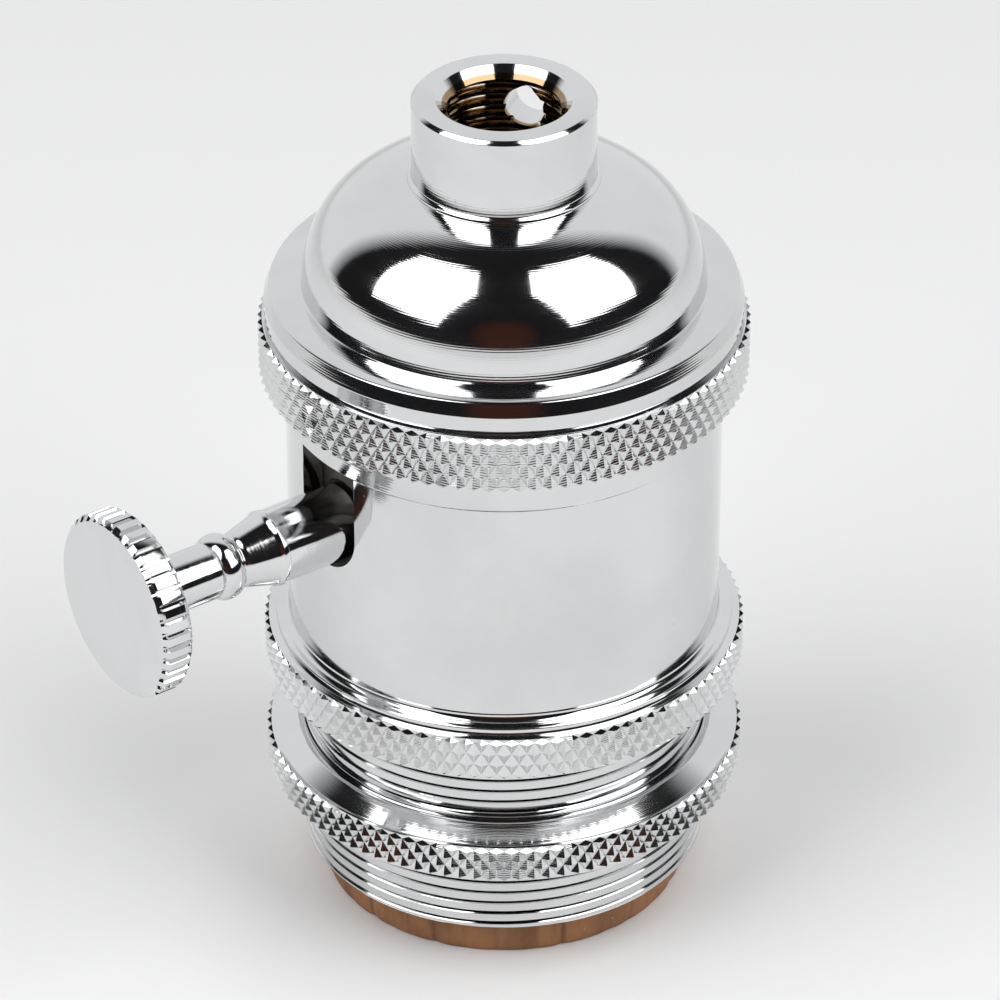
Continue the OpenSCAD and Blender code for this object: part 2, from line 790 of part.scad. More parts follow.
module contact_rivet() {
    low = switch_z - boss_h - contact_t;
    high = load_foot_z + contact_t;
    color("silver")
    translate([finger_x, -load_rivet_y, 0]) {
        post(rivet_head_r, low - rivet_head_h, low);
        post(rivet_r, low - rivet_head_h, high);
    }
}

// Fixed contact on the lamp's side: a blade beside the rotor, and a foot on the rivet
module load_contact() {
    color("goldenrod")
    difference() {
        union() {
            block([finger_x - contact_w / 2, -finger_y - contact_t, load_foot_z],
                [finger_x + contact_w / 2, -finger_y, axis_z + load_top]);
            block([finger_x - contact_w / 2, -finger_y - contact_t, load_foot_z],
                [finger_x + contact_w / 2, -load_foot_y0, load_foot_z + contact_t]);
        }
        translate([finger_x, -load_rivet_y, 0])
        post(rivet_r, load_foot_z - over, load_foot_z + contact_t + over);
    }
}

// Terminal plate with a finger that reaches down beside the rotor
module live_terminal() {
    color("goldenrod")
    difference() {
        union() {
            block([-plate_w / 2, plate_y0, cover_z], [plate_w / 2, plate_y1, cover_z + contact_t]);
            block([finger_x - contact_w / 2, finger_y, axis_z - finger_low],
                [finger_x + contact_w / 2, finger_y + contact_t, cover_z + contact_t]);
        }
        translate([0, terminal_y, 0]) post(screw_r, cover_z - over, cover_z + contact_t + over);
    }
}

// Terminal plate with a strap down the switch body to the threaded shell
module neutral_terminal() {
    color("silver")
    difference() {
        union() {
            block([-plate_w / 2, -plate_y1, cover_z], [plate_w / 2, -plate_y0, cover_z + contact_t]);
            block([-strap_w / 2, -strap_y - contact_t, cover_z], [strap_w / 2, -plate_y1, cover_z + contact_t]);
            block([-strap_w / 2, -strap_y - contact_t, switch_z], [strap_w / 2, -strap_y, cover_z + contact_t]);
            block([-strap_w / 2, -strap_y - contact_t, switch_z],
                [strap_w / 2, -rivet_y + rivet_head_r, switch_z + contact_t]);
        }
        translate([0, -terminal_y, 0]) post(screw_r, cover_z - over, cover_z + contact_t + over);
        translate([0, -rivet_y, 0]) post(rivet_r, switch_z - over, switch_z + contact_t + over);
    }
}

// Cheese-head screw with a driver slot, standing on z = 0 under its head
module slotted_screw(head_r, high, r, l) {
    difference() {
        union() {
            post(head_r, 0, high);
            post(r, -l, high / 2);
        }
        block([-head_r - over, -driver_slot_w / 2, high - driver_slot_h],
            [head_r + over, driver_slot_w / 2, high + over]);
    }
}

module live_screw() {
    color("gold")
    translate([0, terminal_y, cover_z + contact_t])
    slotted_screw(terminal_head_d / 2, head_h, screw_r, screw_l);
}

module neutral_screw() {
    color("silver")
    translate([0, -terminal_y, cover_z + contact_t])
    slotted_screw(terminal_head_d / 2, head_h, screw_r, screw_l);
}

module body_screws() {
    color("silver")
    for (s = [-1, 1])
        translate([s * body_screw_x, -s * body_screw_y, cover_z])
        slotted_screw(body_screw_head_r, body_screw_head_h, body_screw_r, body_screw_l);
}

cap();
shell();
shade_ring();
fibre_liner();
turn_knob();
switch_shaft();
shaft_bushing();
switch_base();
switch_cover();
rotor();
rotor_contact();
rotor_clip();
index_spring();
screw_shell();
screw_shell_rivets();
centre_contact();
contact_rivet();
load_contact();
live_terminal();
neutral_terminal();
live_screw();
neutral_screw();
body_screws();
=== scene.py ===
"""Looks of a turn knob lamp socket: chromed metalwork, a fibre liner and the switch inside."""

import math
import random

import bmesh
import bpy
from bpy.props import FloatProperty, FloatVectorProperty, IntProperty, PointerProperty
from bpy.types import Operator, Panel, PropertyGroup
from mathutils import Matrix, Vector


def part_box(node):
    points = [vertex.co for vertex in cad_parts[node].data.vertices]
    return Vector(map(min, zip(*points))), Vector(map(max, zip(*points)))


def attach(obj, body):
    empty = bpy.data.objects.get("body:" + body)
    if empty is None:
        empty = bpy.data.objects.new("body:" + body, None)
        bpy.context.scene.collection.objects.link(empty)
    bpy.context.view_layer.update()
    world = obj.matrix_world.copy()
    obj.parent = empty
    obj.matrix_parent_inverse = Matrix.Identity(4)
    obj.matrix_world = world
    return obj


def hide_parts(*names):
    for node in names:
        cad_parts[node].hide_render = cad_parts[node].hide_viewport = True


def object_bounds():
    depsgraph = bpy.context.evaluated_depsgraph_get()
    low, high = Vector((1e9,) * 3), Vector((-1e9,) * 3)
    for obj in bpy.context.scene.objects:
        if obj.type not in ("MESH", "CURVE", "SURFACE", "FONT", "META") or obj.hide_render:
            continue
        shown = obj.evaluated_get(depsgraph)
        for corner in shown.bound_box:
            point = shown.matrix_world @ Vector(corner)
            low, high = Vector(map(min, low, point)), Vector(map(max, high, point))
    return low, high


bl_info = {
    "name": "Turn knob lamp socket",
    "version": (1, 0, 0),
    "blender": (4, 5, 0),
    "location": "View3D > Sidebar > Lamp Socket",
    "description": "Chromed lamp socket with a turn knob, knurled edges and a shade ring",
    "category": "Object",
}

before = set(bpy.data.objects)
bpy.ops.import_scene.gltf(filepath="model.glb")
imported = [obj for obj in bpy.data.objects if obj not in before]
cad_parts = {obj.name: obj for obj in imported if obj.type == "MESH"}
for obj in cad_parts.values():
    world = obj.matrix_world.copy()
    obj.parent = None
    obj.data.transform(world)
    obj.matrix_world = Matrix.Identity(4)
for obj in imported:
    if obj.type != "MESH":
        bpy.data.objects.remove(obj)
CAD_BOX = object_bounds()

MM = 0.001

# Places taken from the construction
CAP_LOW, CAP_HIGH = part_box("cap")
SHELL_LOW, SHELL_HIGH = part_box("shell")
RING_LOW, RING_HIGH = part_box("shade_ring")
LINER_LOW, LINER_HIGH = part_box("fibre_liner")
LAMP_LOW, LAMP_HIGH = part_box("screw_shell")
KNOB_LOW, KNOB_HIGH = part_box("turn_knob")
AXIS_Z = (KNOB_LOW.z + KNOB_HIGH.z) / 2
KNOB_R = (KNOB_HIGH.z - KNOB_LOW.z) / 2
MIDDLE_Z = (CAD_BOX[0].z + CAD_BOX[1].z) / 2

# Edges sharper than this stay crisp, and points nearer than this are one
CREASE = math.radians(32)
WELD = 0.0001 * MM
NEAR = 0.001 * MM
OVER = 1 * MM

# Step between a thread's crest and the plain circle beside it
THREAD_STEP = 0.01 * MM

# Width of the flat on a diamond's peak, and roundings of edges
PEAK_FLAT = 0.07 * MM
FINE = 0.06 * MM
SOFT = 0.12 * MM

# Floor's radius, and the distances between which it starts to glow
FLOOR_R = 4
FLOOR_FADE = (0.25, 0.9)

# Edges of the backdrop and of the warm place, as cosines of the angle from their middle, and of the ground
BACKDROP_EDGE = (0.32, 0.5)
WARM_EDGE = (0.94, 0.985)
WARM_RISE = math.radians(14)
GROUND_EDGE = (-0.01, -0.03)

# Corners of a softbox, as shares of its width toward the camera's side and of its height
SOFTBOX_OUTLINE = (
    (-0.3, -0.25), (0.395, -0.235), (0.315, 0.26), (0.05, 0.455), (-0.34, 0.34), (-0.335, 0.08))


def mm(name, value, text=""):
    """A length that the user can change, given in millimetres."""
    return FloatProperty(name=name, description=text, default=value * MM, min=0, unit="LENGTH", precision=5)


def angle(name, value, text=""):
    """An angle that the user can change, given in degrees."""
    return FloatProperty(name=name, description=text, default=math.radians(value), subtype="ANGLE")


def count(name, value, low, text=""):
    """A number of things that the user can change."""
    return IntProperty(name=name, description=text, default=value, min=low)


def colour(name, value, text=""):
    """A colour that the user can change, in linear values."""
    return FloatVectorProperty(
        name=name, description=text, default=value, min=0, max=1, size=3, subtype="COLOR")


class CapSizes(PropertyGroup):
    lip_r: mm("Lip radius", 17.7, "Radius of the smooth lip under the knurling")
    lip_h: mm("Lip height", 2.8)
    teeth: count("Knurl teeth", 100, 40, "Diamonds round the knurled edge")
    knurl_h: mm("Knurl height", 4.8, "Height of the knurled edge")
    knurl_depth: mm("Knurl depth", 0.36)
    knurl_bevel: mm("Knurl bevel", 0.35, "Bevel along a knurled edge")
    knurl_rows: count("Knurl rows", 4, 1, "Half rows of diamonds")
    groove_r: mm("Groove radius", 18.35, "Radius in the groove over the knurling")
    groove_h: mm("Groove height", 0.5)
    band_r: mm("Band radius", 18.95)
    band_h: mm("Band height", 1.2)
    step_h: mm("Step height", 1.0, "Height of the steep step over the band")
    shoulder_r: mm("Shoulder radius", 18.55, "Radius of the shoulder's outer ridge")
    shoulder_h: mm("Shoulder rise", 0.35, "Rise of the shoulder toward the dome")
    dome_r: mm("Dome radius", 16.05, "Widest radius of the dome's curve")
    dome_sink: mm("Dome sink", 2.1, "How far the curve's widest place would lie below the shoulder")
    dome_rise: mm("Dome rise", 11.83, "Full height of the dome's curve")
    dome_power: FloatProperty(name="Dome fullness", description="2 is an ellipse", default=2.8, min=2, max=3)
    dome_wall: mm("Dome wall", 1.6)
    neck_r: mm("Neck radius", 7.25, "Radius of the cord neck")
    neck_bevel: mm("Neck bevel", 0.3, "Bevel round the neck's rim")
    sink_r: mm("Countersink radius", 5.4, "Radius of the countersink at the rim")
    bore_r: mm("Bore radius", 4.5, "Radius of the neck's thread at its crests")
    thread_depth: mm("Neck thread depth", 0.5, "Depth of the neck's thread")
    thread_pitch: mm("Neck thread pitch", 1.0, "Pitch of the neck's thread")
    socket_r: mm("Socket radius", 16.65, "Radius of the cap's own socket, over the shell")
    socket_h: mm("Socket height", 6.3, "Depth of the cap's socket")
    screw_d: mm("Set screw hole", 3.3, "Diameter of the set screw's hole")
    screw_drop: mm("Set screw drop", 3.2, "Distance of that hole below the rim")
    screw_turn: angle("Set screw turn", 33, "Direction of that hole")


class ShellSizes(PropertyGroup):
    skirt_r: mm("Skirt radius", 16.4, "Radius of the skirt's thread at its crests")
    thread_depth: mm("Thread depth", 0.55, "Depth of the skirt's thread")
    thread_pitch: mm("Thread pitch", 1.0, "Pitch of the skirt's thread")
    groove_share: FloatProperty(
        name="Groove share", description="Share of the pitch that is groove", default=0.34, min=0.2, max=0.8)
    end_bevel: mm("End bevel", 0.3, "Bevel at the ends of a thread")
    plain_h: mm("Plain height", 0.6, "Plain length between a thread and the flange or the lip")
    flange_r: mm("Flange radius", 19.5, "Radius of the knurled flange")
    flange_z: mm("Flange place", 16.3, "Height of the flange's underside")
    flange_h: mm("Flange height", 3.7, "Height of the flange's knurled edge")
    teeth: count("Knurl teeth", 100, 40, "Diamonds round the flange")
    knurl_rows: count("Knurl rows", 3, 1, "Half rows of diamonds")
    seat_r: mm("Seat radius", 18.5, "Radius of the step over the flange")
    seat_h: mm("Seat height", 0.6, "Height of the step over the flange")
    fillet_r: mm("Fillet radius", 0.6, "Hollow between the step and the wall")
    body_r: mm("Wall radius", 17.4)
    bore_r: mm("Bore radius", 15.6, "Inside radius of the plain wall")
    skirt_bore_r: mm("Skirt bore radius", 15.25)
    ledge_z: mm("Ledge place", 30.25, "Height of the ledge inside")
    top_r: mm("Top thread radius", 16.6, "Radius of the thread inside the cap")
    slot_w: mm("Slot width", 7.0, "Width of the slot for the knob")
    slot_round: mm("Slot edge", 0.45, "Rounding of the slot's outer edge")


class RingSizes(PropertyGroup):
    bore_r: mm("Bore radius", 16.45, "Inside radius of the ring")
    outer_r: mm("Ring radius", 19.5, "Radius over the knurling")
    knurl_h: mm("Knurl height", 3.2, "Height of the knurled edge")
    teeth: count("Knurl teeth", 100, 40, "Diamonds round the ring")
    knurl_rows: count("Knurl rows", 3, 1, "Half rows of diamonds")
    land_w: mm("Land width", 0.65, "Width of the flat inner edge")
    shelf_w: mm("Shelf width", 0.3, "Width of the flat beside the knurling")


class KnobSizes(PropertyGroup):
    stem_r: mm("Stem radius", 3.0)
    bore_r: mm("Bore radius", 1.5, "Radius of the hole for the shaft")
    bore_h: mm("Bore depth", 6.0, "Depth of the hole for the shaft")
    plain_h: mm("Plain stem", 5.7, "Length of plain stem outside the wall")
    ridge: mm("Ridge", 0.1, "Height of the low ridge round the stem")
    ridge_w: mm("Ridge width", 0.4)
    taper_end: mm("Taper end", 8.7, "Distance from the wall to the end of the taper")
    groove_r: mm("Groove radius", 2.05, "Radius of the groove beside the collar")
    groove_w: mm("Groove width", 0.3)
    collar_r: mm("Collar radius", 2.7)
    collar_w: mm("Collar width", 2.1)
    neck_r: mm("Neck radius", 2.3, "Radius of the neck behind the disc")
    flare_r: mm("Flare radius", 3.2, "Radius of the flare at the disc")
    flare_h: mm("Flare length", 1.2)
    disc_w: mm("Disc width", 2.7)
    teeth: count("Teeth", 40, 12, "Teeth round the disc")
    tooth_depth: mm("Tooth depth", 0.45, "Depth of the teeth")
    bevel: mm("Disc bevel", 0.45, "Bevel round the disc's faces")


class LinerSizes(PropertyGroup):
    wall: mm("Wall", 0.8, "Thickness of the fibre")
    curl: mm("Curl", 0.6, "How far the rim curls inward")
    curl_h: mm("Curl height", 2.2)
    folds: count("Folds", 31, 3, "Creases round the rim")
    fold_depth: mm("Fold depth", 0.22, "Deepest crease")


class LampThreadSizes(PropertyGroup):
    crest_r: mm("Crest radius", 12.2, "Smallest radius of the lamp thread")
    depth: mm("Depth", 1.1, "Depth of the lamp thread")
    pitch: mm("Pitch", 3.63, "Pitch of the lamp thread")
    sheet: mm("Sheet", 0.4, "Thickness of the pressed sheet")
    thread_h: mm("Thread length", 18.45, "Length of the threaded part")
    collar_step: mm("Collar step", 0.35, "How far the plain collar over the thread stands out")
    flange_r: mm("Flange hole", 9.0, "Radius of the hole in its top")


class FinishColours(PropertyGroup):
    chrome: colour("Chrome", (0.73, 0.735, 0.74), "Chrome plating")
    chrome_dull: colour("Dull chrome", (0.66, 0.665, 0.67), "Chrome under a faint film")
    bronze: colour("Thin plating", (0.34, 0.235, 0.13), "Metal under thin plating in the neck's bore")
    fibre: colour("Fibre", (0.37, 0.165, 0.062), "Vulcanised fibre")
    # Dark fibre is the sheet's darker mottle, and the painted shade in the rim's creases
    fibre_dark: colour("Dark fibre", (0.10, 0.036, 0.014), "Fibre in its creases")
    moulding: colour("Moulding", (0.018, 0.016, 0.015), "Black moulded switch body")
    moulding_worn: colour("Worn moulding", (0.10, 0.09, 0.08), "Edges of the moulding")
    rotor: colour("Rotor", (0.13, 0.05, 0.025), "Brown moulded rotor")
    brass: colour("Brass", (0.80, 0.55, 0.22), "Bright brass")
    # The dull brass, nickel and steel colours show under a handling film and, as painted shade, in the
    # hollows
    brass_dark: colour("Dull brass", (0.42, 0.25, 0.09), "Brass under its tarnish")
    # Near black: painted shade on the shaft bushing inside the knob's slot
    bushing_shade_tint: colour("Brass in painted shade", (0.05, 0.04, 0.03), "Brass that doesn't show in the slot")
    nickel: colour("Nickel", (0.62, 0.60, 0.55), "Nickel plating")
    nickel_dark: colour("Dull nickel", (0.40, 0.38, 0.34), "Nickel in its marks")
    steel: colour("Steel", (0.55, 0.56, 0.58), "Zinc plated steel")
    steel_dark: colour("Dull steel", (0.33, 0.34, 0.36), "Zinc in its marks")
    paper: colour("Paper", (0.84, 0.84, 0.84), "Floor under the socket")
    room: colour("Room", (0.012, 0.012, 0.013), "Dark room on the camera's side")
    room_warm: colour("Warm room", (0.05, 0.018, 0.012), "Faint warm place beside the camera")
    backdrop: colour("Backdrop", (0.86, 0.87, 0.88), "Backdrop as the metal reflects it")
    backdrop_seen: colour("Backdrop in the picture", (0.83, 0.83, 0.83), "Backdrop as the camera sees it")


class StudioSizes(PropertyGroup):
    azimuth: angle("Azimuth", -36, "Camera direction")
    elevation: angle("Elevation", 32.75, "Camera height angle")
    distance: mm("Distance", 494.5, "From the camera to its target")
    target_z: mm("Target height", 30.2, "Height of the point that the camera looks at")
    lens: FloatProperty(name="Lens", description="Focal length in millimetres", default=221.17, min=20)
    shift: FloatProperty(name="Shift", description="Sideways lens shift", default=-0.0041)
    lamp_distance: mm("Lamp distance", 800, "From the socket to each softbox")
    lamp_side: angle("Lamp side", 63, "Angle of a softbox from the camera")
    lamp_rise: angle("Lamp rise", 42, "Height angle of a softbox")
    lamp_w: mm("Softbox width", 945)
    lamp_h: mm("Softbox height", 1295)
    lamp_glow: FloatProperty(name="Softbox glow", description="Brightness of a softbox", default=3.1, min=0)


# Mesh helpers


def arc(x, z, rx, rz, start, end, steps):
    """Points along an arc of an ellipse, with its angles in degrees."""
    turns = [math.radians(start + (end - start) * i / steps) for i in range(steps + 1)]
    return [(x + rx * math.cos(a), z + rz * math.sin(a)) for a in turns]


def dome_points(foot, z, rise, power, end, steps, sink=0.0):
    """Points up the dome's curve to the radius end, from a height over its widest place."""
    first = math.asin((sink / rise) ** (power / 2))
    last = math.acos((end / foot) ** (power / 2))
    turns = [first + (last - first) * i / steps for i in range(steps + 1)]
    return [(foot * math.cos(a) ** (2 / power), z + rise * math.sin(a) ** (2 / power)) for a in turns]


def bevel(bm, geom, affect, offset, segments):
    """Rounds corners of an outline, or edges of a mesh."""
    bmesh.ops.bevel(
        bm, geom=geom, offset=offset, offset_type="OFFSET", affect=affect, segments=segments, profile=0.5,
        material=-1, clamp_overlap=True)


def join(bm, part, copies=1, rise=0.0):
    """Adds copies of one mesh to another, each standing higher than the last by the rise."""
    mesh = bpy.data.meshes.new("part")
    part.to_mesh(mesh)
    part.free()
    for _ in range(copies):
        bm.from_mesh(mesh)
        mesh.transform(Matrix.Translation((0, 0, rise)))
    bpy.data.meshes.remove(mesh)


def spin_outline(bm, points, columns, closed=False):
    """Turns an outline of (radius, height[, fillet]) points round Z, with its corners rounded first."""
    part = bmesh.new()
    verts = [part.verts.new((p[0], 0, p[1])) for p in points]
    pairs = list(zip(verts, verts[1:]))
    if closed:
        pairs.append((verts[-1], verts[0]))
    for pair in pairs:
        part.edges.new(pair)
    for fillet in sorted({p[2] for p in points if len(p) > 2}):
        corners = [v for v, p in zip(verts, points) if len(p) > 2 and p[2] == fillet]
        bevel(part, corners, "VERTICES", fillet, 3)
    bmesh.ops.spin(
        part, geom=part.verts[:] + part.edges[:], cent=(0, 0, 0), axis=(0, 0, 1), dvec=(0, 0, 0),
        angle=math.tau, steps=columns, use_merge=True)
    join(bm, part)


def spin_thread(bm, section, pitch, low, high, columns):
    """Winds a thread between two heights. The section is one pitch of (radius, share of the pitch) points."""
    turn = bmesh.new()
    verts = [turn.verts.new((r, 0, low - 2 * pitch + share * pitch)) for r, share in section]
    edges = [turn.edges.new(pair) for pair in zip(verts, verts[1:])]
    bmesh.ops.spin(
        turn, geom=verts + edges, cent=(0, 0, 0), axis=(0, 0, 1), dvec=(0, 0, pitch / columns),
        angle=math.tau, steps=columns)
    part = bmesh.new()
    join(part, turn, math.ceil((high - low) / pitch) + 3, pitch)
    bmesh.ops.remove_doubles(part, verts=part.verts[:], dist=NEAR)
    for z, above in ((low, False), (high, True)):
        bmesh.ops.bisect_plane(
            part, geom=part.verts[:] + part.edges[:] + part.faces[:], dist=WELD, plane_co=(0, 0, z),
            plane_no=(0, 0, 1), clear_outer=above, clear_inner=not above)
    join(bm, part)


def groove_section(crest, root, share):
    """One pitch of a thread with flat crests, and a groove with blunted edges that fills a share of it."""
    flat = 1 - share
    shoulder = crest + 0.14 * (root - crest)
    return [
        (crest, 0), (crest, flat), (shoulder, flat + 0.2 * share), (root, flat + 0.42 * share),
        (root, flat + 0.58 * share), (shoulder, flat + 0.8 * share), (crest, 1),
    ]


def turn_of(v):
    """Angle of a point round the Z axis."""
    return math.atan2(v.co.y, v.co.x)


def radius_of(v):
    """Distance of a point from the Z axis."""
    return math.hypot(v.co.x, v.co.y)


def rim_loop(verts):
    """Points of an open rim in their order, with the angle of each, from the smallest angle onward."""
    loop = [min(verts, key=turn_of)]
    while True:
        beside = [e.other_vert(loop[-1]) for e in loop[-1].link_edges if e.is_boundary]
        ahead = [v for v in beside if v in verts and v not in loop[-2:]]
        if not ahead or (len(loop) > 2 and loop[0] in ahead):
            break
        loop.append(min(ahead, key=turn_of))
    turns = [turn_of(v) for v in loop]
    return loop + loop[:1], turns + [turns[0] + math.tau]


def bridge_rims(bm, heights, circle_r):
    """Closes the flat gap at each height between the rim of a thread and the circle beside it."""
    bmesh.ops.remove_doubles(bm, verts=bm.verts[:], dist=WELD)
    for z in heights:
        rims = {v for e in bm.edges if e.is_boundary for v in e.verts if abs(v.co.z - z) < NEAR}
        on_circle = {v for v in rims if abs(radius_of(v) - circle_r) < NEAR}
        circle, circle_turns = rim_loop(on_circle)
        thread, thread_turns = rim_loop(rims - on_circle)
        i = j = 0
        while i < len(circle) - 1 or j < len(thread) - 1:
            if j == len(thread) - 1 or (i < len(circle) - 1 and circle_turns[i + 1] <= thread_turns[j + 1]):
                bm.faces.new((circle[i], circle[i + 1], thread[j]))
                i += 1
            else:
                bm.faces.new((thread[j], thread[j + 1], circle[i]))
                j += 1


def close_up(bm):
    """Welds a turned shape, turns its faces outward and makes sure that nothing is left open."""
    bmesh.ops.remove_doubles(bm, verts=bm.verts[:], dist=WELD)
    bmesh.ops.dissolve_degenerate(bm, dist=WELD, edges=bm.edges[:])
    bmesh.ops.recalc_face_normals(bm, faces=bm.faces[:])
    loose = [e for e in bm.edges if not e.is_manifold]
    if loose or bm.calc_volume(signed=True) <= 0:
        raise RuntimeError(f"a turned shape is not closed: {len(loose)} loose edges")


def knurl_heights(low, high, edge, rows):
    """Heights of a knurled edge's rows of points, with a bevelled edge at each end."""
    step = (high - low - 2 * edge) / rows
    return [low] + [low + edge + step * i for i in range(rows + 1)] + [high]


def knurl_points(crest, root, heights):
    """Outline of a knurled edge before its diamonds are pushed in."""
    return [(root, heights[0])] + [(crest, z) for z in heights[1:-1]] + [(root, heights[-1])]


def press_knurl(bm, crest, root, heights, teeth):
    """Pushes every second point in, splits the diamonds along their valleys and blunts their peaks."""
    rows = heights[1:-1]
    ring = [v for v in bm.verts if abs(radius_of(v) - crest) < NEAR]
    peaks = []
    for v in ring:
        row = min(range(len(rows)), key=lambda i: abs(rows[i] - v.co.z))
        column = round(turn_of(v) / math.tau * 2 * teeth)
        if abs(rows[row] - v.co.z) > NEAR:
            continue
        if (row + column) % 2:
            v.co.x *= root / crest
            v.co.y *= root / crest
        else:
            peaks.append(v)
    faces = {f for v in peaks for f in v.link_faces}
    bmesh.ops.triangulate(bm, faces=list(faces), quad_method="SHORT_EDGE", ngon_method="BEAUTY")
    bevel(bm, peaks, "VERTICES", PEAK_FLAT, 1)


def mesh_object(bm, name):
    """Object of a finished bmesh, at the origin."""
    mesh = bpy.data.meshes.new(name)
    bm.to_mesh(mesh)
    bm.free()
    made = bpy.data.objects.new(name, mesh)
    bpy.context.scene.collection.objects.link(made)
    return made


def cut(piece, cutter):
    """Takes one solid out of another for good."""
    tool = mesh_object(cutter, "cutter")
    modifier = piece.modifiers.new("cut", "BOOLEAN")
    modifier.operation = "DIFFERENCE"
    modifier.solver = "EXACT"
    modifier.object = tool
    evaluated = piece.evaluated_get(bpy.context.evaluated_depsgraph_get())
    mesh = bpy.data.meshes.new_from_object(evaluated)
    if not mesh.polygons:
        raise RuntimeError(f"the cut through {piece.name} left nothing")
    piece.modifiers.clear()
    old = piece.data
    piece.data = mesh
    mesh.name = old.name
    bpy.data.meshes.remove(old)
    bpy.data.meshes.remove(tool.data)


def round_edges(piece, chosen, offset, segments):
    """Rounds the edges that the test picks."""
    bm = bmesh.new()
    bm.from_mesh(piece.data)
    bevel(bm, [e for e in bm.edges if chosen(e)], "EDGES", offset, segments)
    bm.to_mesh(piece.data)
    bm.free()


def dress(piece, body, slot, material, *nodes):
    """Shades a piece, seats it on its body and lets it stand for its nodes."""
    piece.data.materials.clear()
    piece.data.materials.append(material)
    piece.data.shade_smooth()
    piece.data.set_sharp_from_angle(angle=CREASE)
    modifier = piece.modifiers.new("normals", "WEIGHTED_NORMAL")
    modifier.keep_sharp = True
    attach(piece, body)
    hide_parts(*nodes)


# Material helpers


def fill(tree, node, inputs):
    """Sets or links a node's inputs, given by name or by number."""
    for key, value in inputs.items():
        if isinstance(value, bpy.types.NodeSocket):
            tree.links.new(value, node.inputs[key])
        else:
            node.inputs[key].default_value = value


def add(tree, kind, inputs=(), **settings):
    """Adds a node of a kind, such as TexNoise, with its settings and inputs."""
    node = tree.nodes.new("ShaderNode" + kind)
    for key, value in settings.items():
        setattr(node, key, value)
    fill(tree, node, dict(inputs))
    return node


def maths(tree, operation, *values):
    """Result of a Math node."""
    return add(tree, "Math", enumerate(values), operation=operation).outputs[0]


def times(tree, *values):
    """Product of two values."""
    return maths(tree, "MULTIPLY", *values)


def plus(tree, *values):
    """Sum of two values."""
    return maths(tree, "ADD", *values)


def noise(tree, place, scale, detail=2.0, roughness=0.5, distortion=0.0):
    """Clouds of noise at a place."""
    return add(tree, "TexNoise", {
        "Vector": place, "Scale": scale, "Detail": detail, "Roughness": roughness, "Distortion": distortion,
    }).outputs["Fac"]


def ranged(tree, value, low, high, to_low=0.0, to_high=1.0):
    """Value moved from one range into another, and kept inside it."""
    inputs = {"Value": value, "From Min": low, "From Max": high, "To Min": to_low, "To Max": to_high}
    return add(tree, "MapRange", inputs, clamp=True).outputs["Result"]


def blended(tree, factor, first, second):
    """Mix of two colours."""
    node = add(tree, "Mix", {0: factor}, data_type="RGBA")
    fill(tree, node, {6: opaque(first), 7: opaque(second)})
    return node.outputs[2]


def opaque(value):
    """Colour with its alpha, or a socket as it is."""
    return value if isinstance(value, bpy.types.NodeSocket) else (*value, 1)


def new_group(name, inputs, outputs):
    """Empty node group with float sockets, and a vector for where the surface is."""
    group = bpy.data.node_groups.new(name, "ShaderNodeTree")
    group.interface.new_socket(name="Place", in_out="INPUT", socket_type="NodeSocketVector")
    for socket in inputs:
        group.interface.new_socket(name=socket, in_out="INPUT", socket_type="NodeSocketFloat")
    for socket in outputs:
        group.interface.new_socket(name=socket, in_out="OUTPUT", socket_type="NodeSocketFloat")
    return group, group.nodes.new("NodeGroupInput").outputs, group.nodes.new("NodeGroupOutput")


def turning_group():
    """Fine lines that a lathe leaves round the Z axis: their height, and bands of finer and coarser work."""
    group, given, out = new_group("Turning lines", ["Spacing"], ["Height", "Bands"])
    split = add(group, "SeparateXYZ", {0: given["Place"]}).outputs
    squares = [maths(group, "POWER", split[axis], 2.0) for axis in "XY"]
    radius = maths(group, "SQRT", plus(group, *squares))
    along = maths(group, "DIVIDE", maths(group, "SUBTRACT", radius, split["Z"]), given["Spacing"])
    wave = maths(group, "SINE", times(group, along, math.tau))
    uneven = add(group, "TexNoise", {"W": times(group, along, 0.71), "Scale": 1.0, "Detail": 2.0},
                 noise_dimensions="1D").outputs["Fac"]
    bands = add(group, "TexNoise", {"W": times(group, along, 0.11), "Scale": 1.0, "Detail": 3.0},
                noise_dimensions="1D").outputs["Fac"]
    height = times(group, wave, ranged(group, uneven, 0.3, 0.7, 0.1, 1.0))
    fill(group, out, {"Height": plus(group, height, times(group, uneven, 0.6))})
    fill(group, out, {"Bands": ranged(group, bands, 0.35, 0.65)})
    return group


def film_group():
    """Faint film that handling leaves on polished metal: soft clouds with fine specks."""
    group, given, out = new_group("Handling film", ["Clouds", "Specks"], ["Film", "Dust"])
    clouds = noise(group, given["Place"], given["Clouds"], 4.0, 0.6, 0.4)
    cells = add(group, "TexVoronoi", {"Vector": given["Place"], "Scale": given["Specks"]}).outputs
    near = ranged(group, cells["Distance"], 0.05, 0.12, 1.0, 0.0)
    rare = ranged(group, add(group, "SeparateColor", {0: cells["Color"]}).outputs[0], 0.9, 0.92)
    fill(group, out, {"Film": ranged(group, clouds, 0.42, 0.72)})
    fill(group, out, {"Dust": times(group, near, rare)})
    return group


def wear_and_shade_group():
    """Wear along outer edges, broken up by noise, and painted shade in the hollows."""
    group, given, out = new_group("Worn edges and hollow shade", ["Grain"], ["Wear", "Hollow shade"])
    bent = add(group, "NewGeometry").outputs["Pointiness"]
    grain = noise(group, given["Place"], given["Grain"], 3.0, 0.65)
    edge = ranged(group, bent, 0.52, 0.60)
    hollow_shade = ranged(group, bent, 0.49, 0.42)
    fill(group, out, {"Wear": times(group, edge, ranged(group, grain, 0.35, 0.65, 0.2, 1.0))})
    # Painted shade: darker in the hollows, broken up by noise
    fill(group, out, {"Hollow shade": times(group, hollow_shade, ranged(group, grain, 0.3, 0.7, 0.4, 1.0))})
    return group


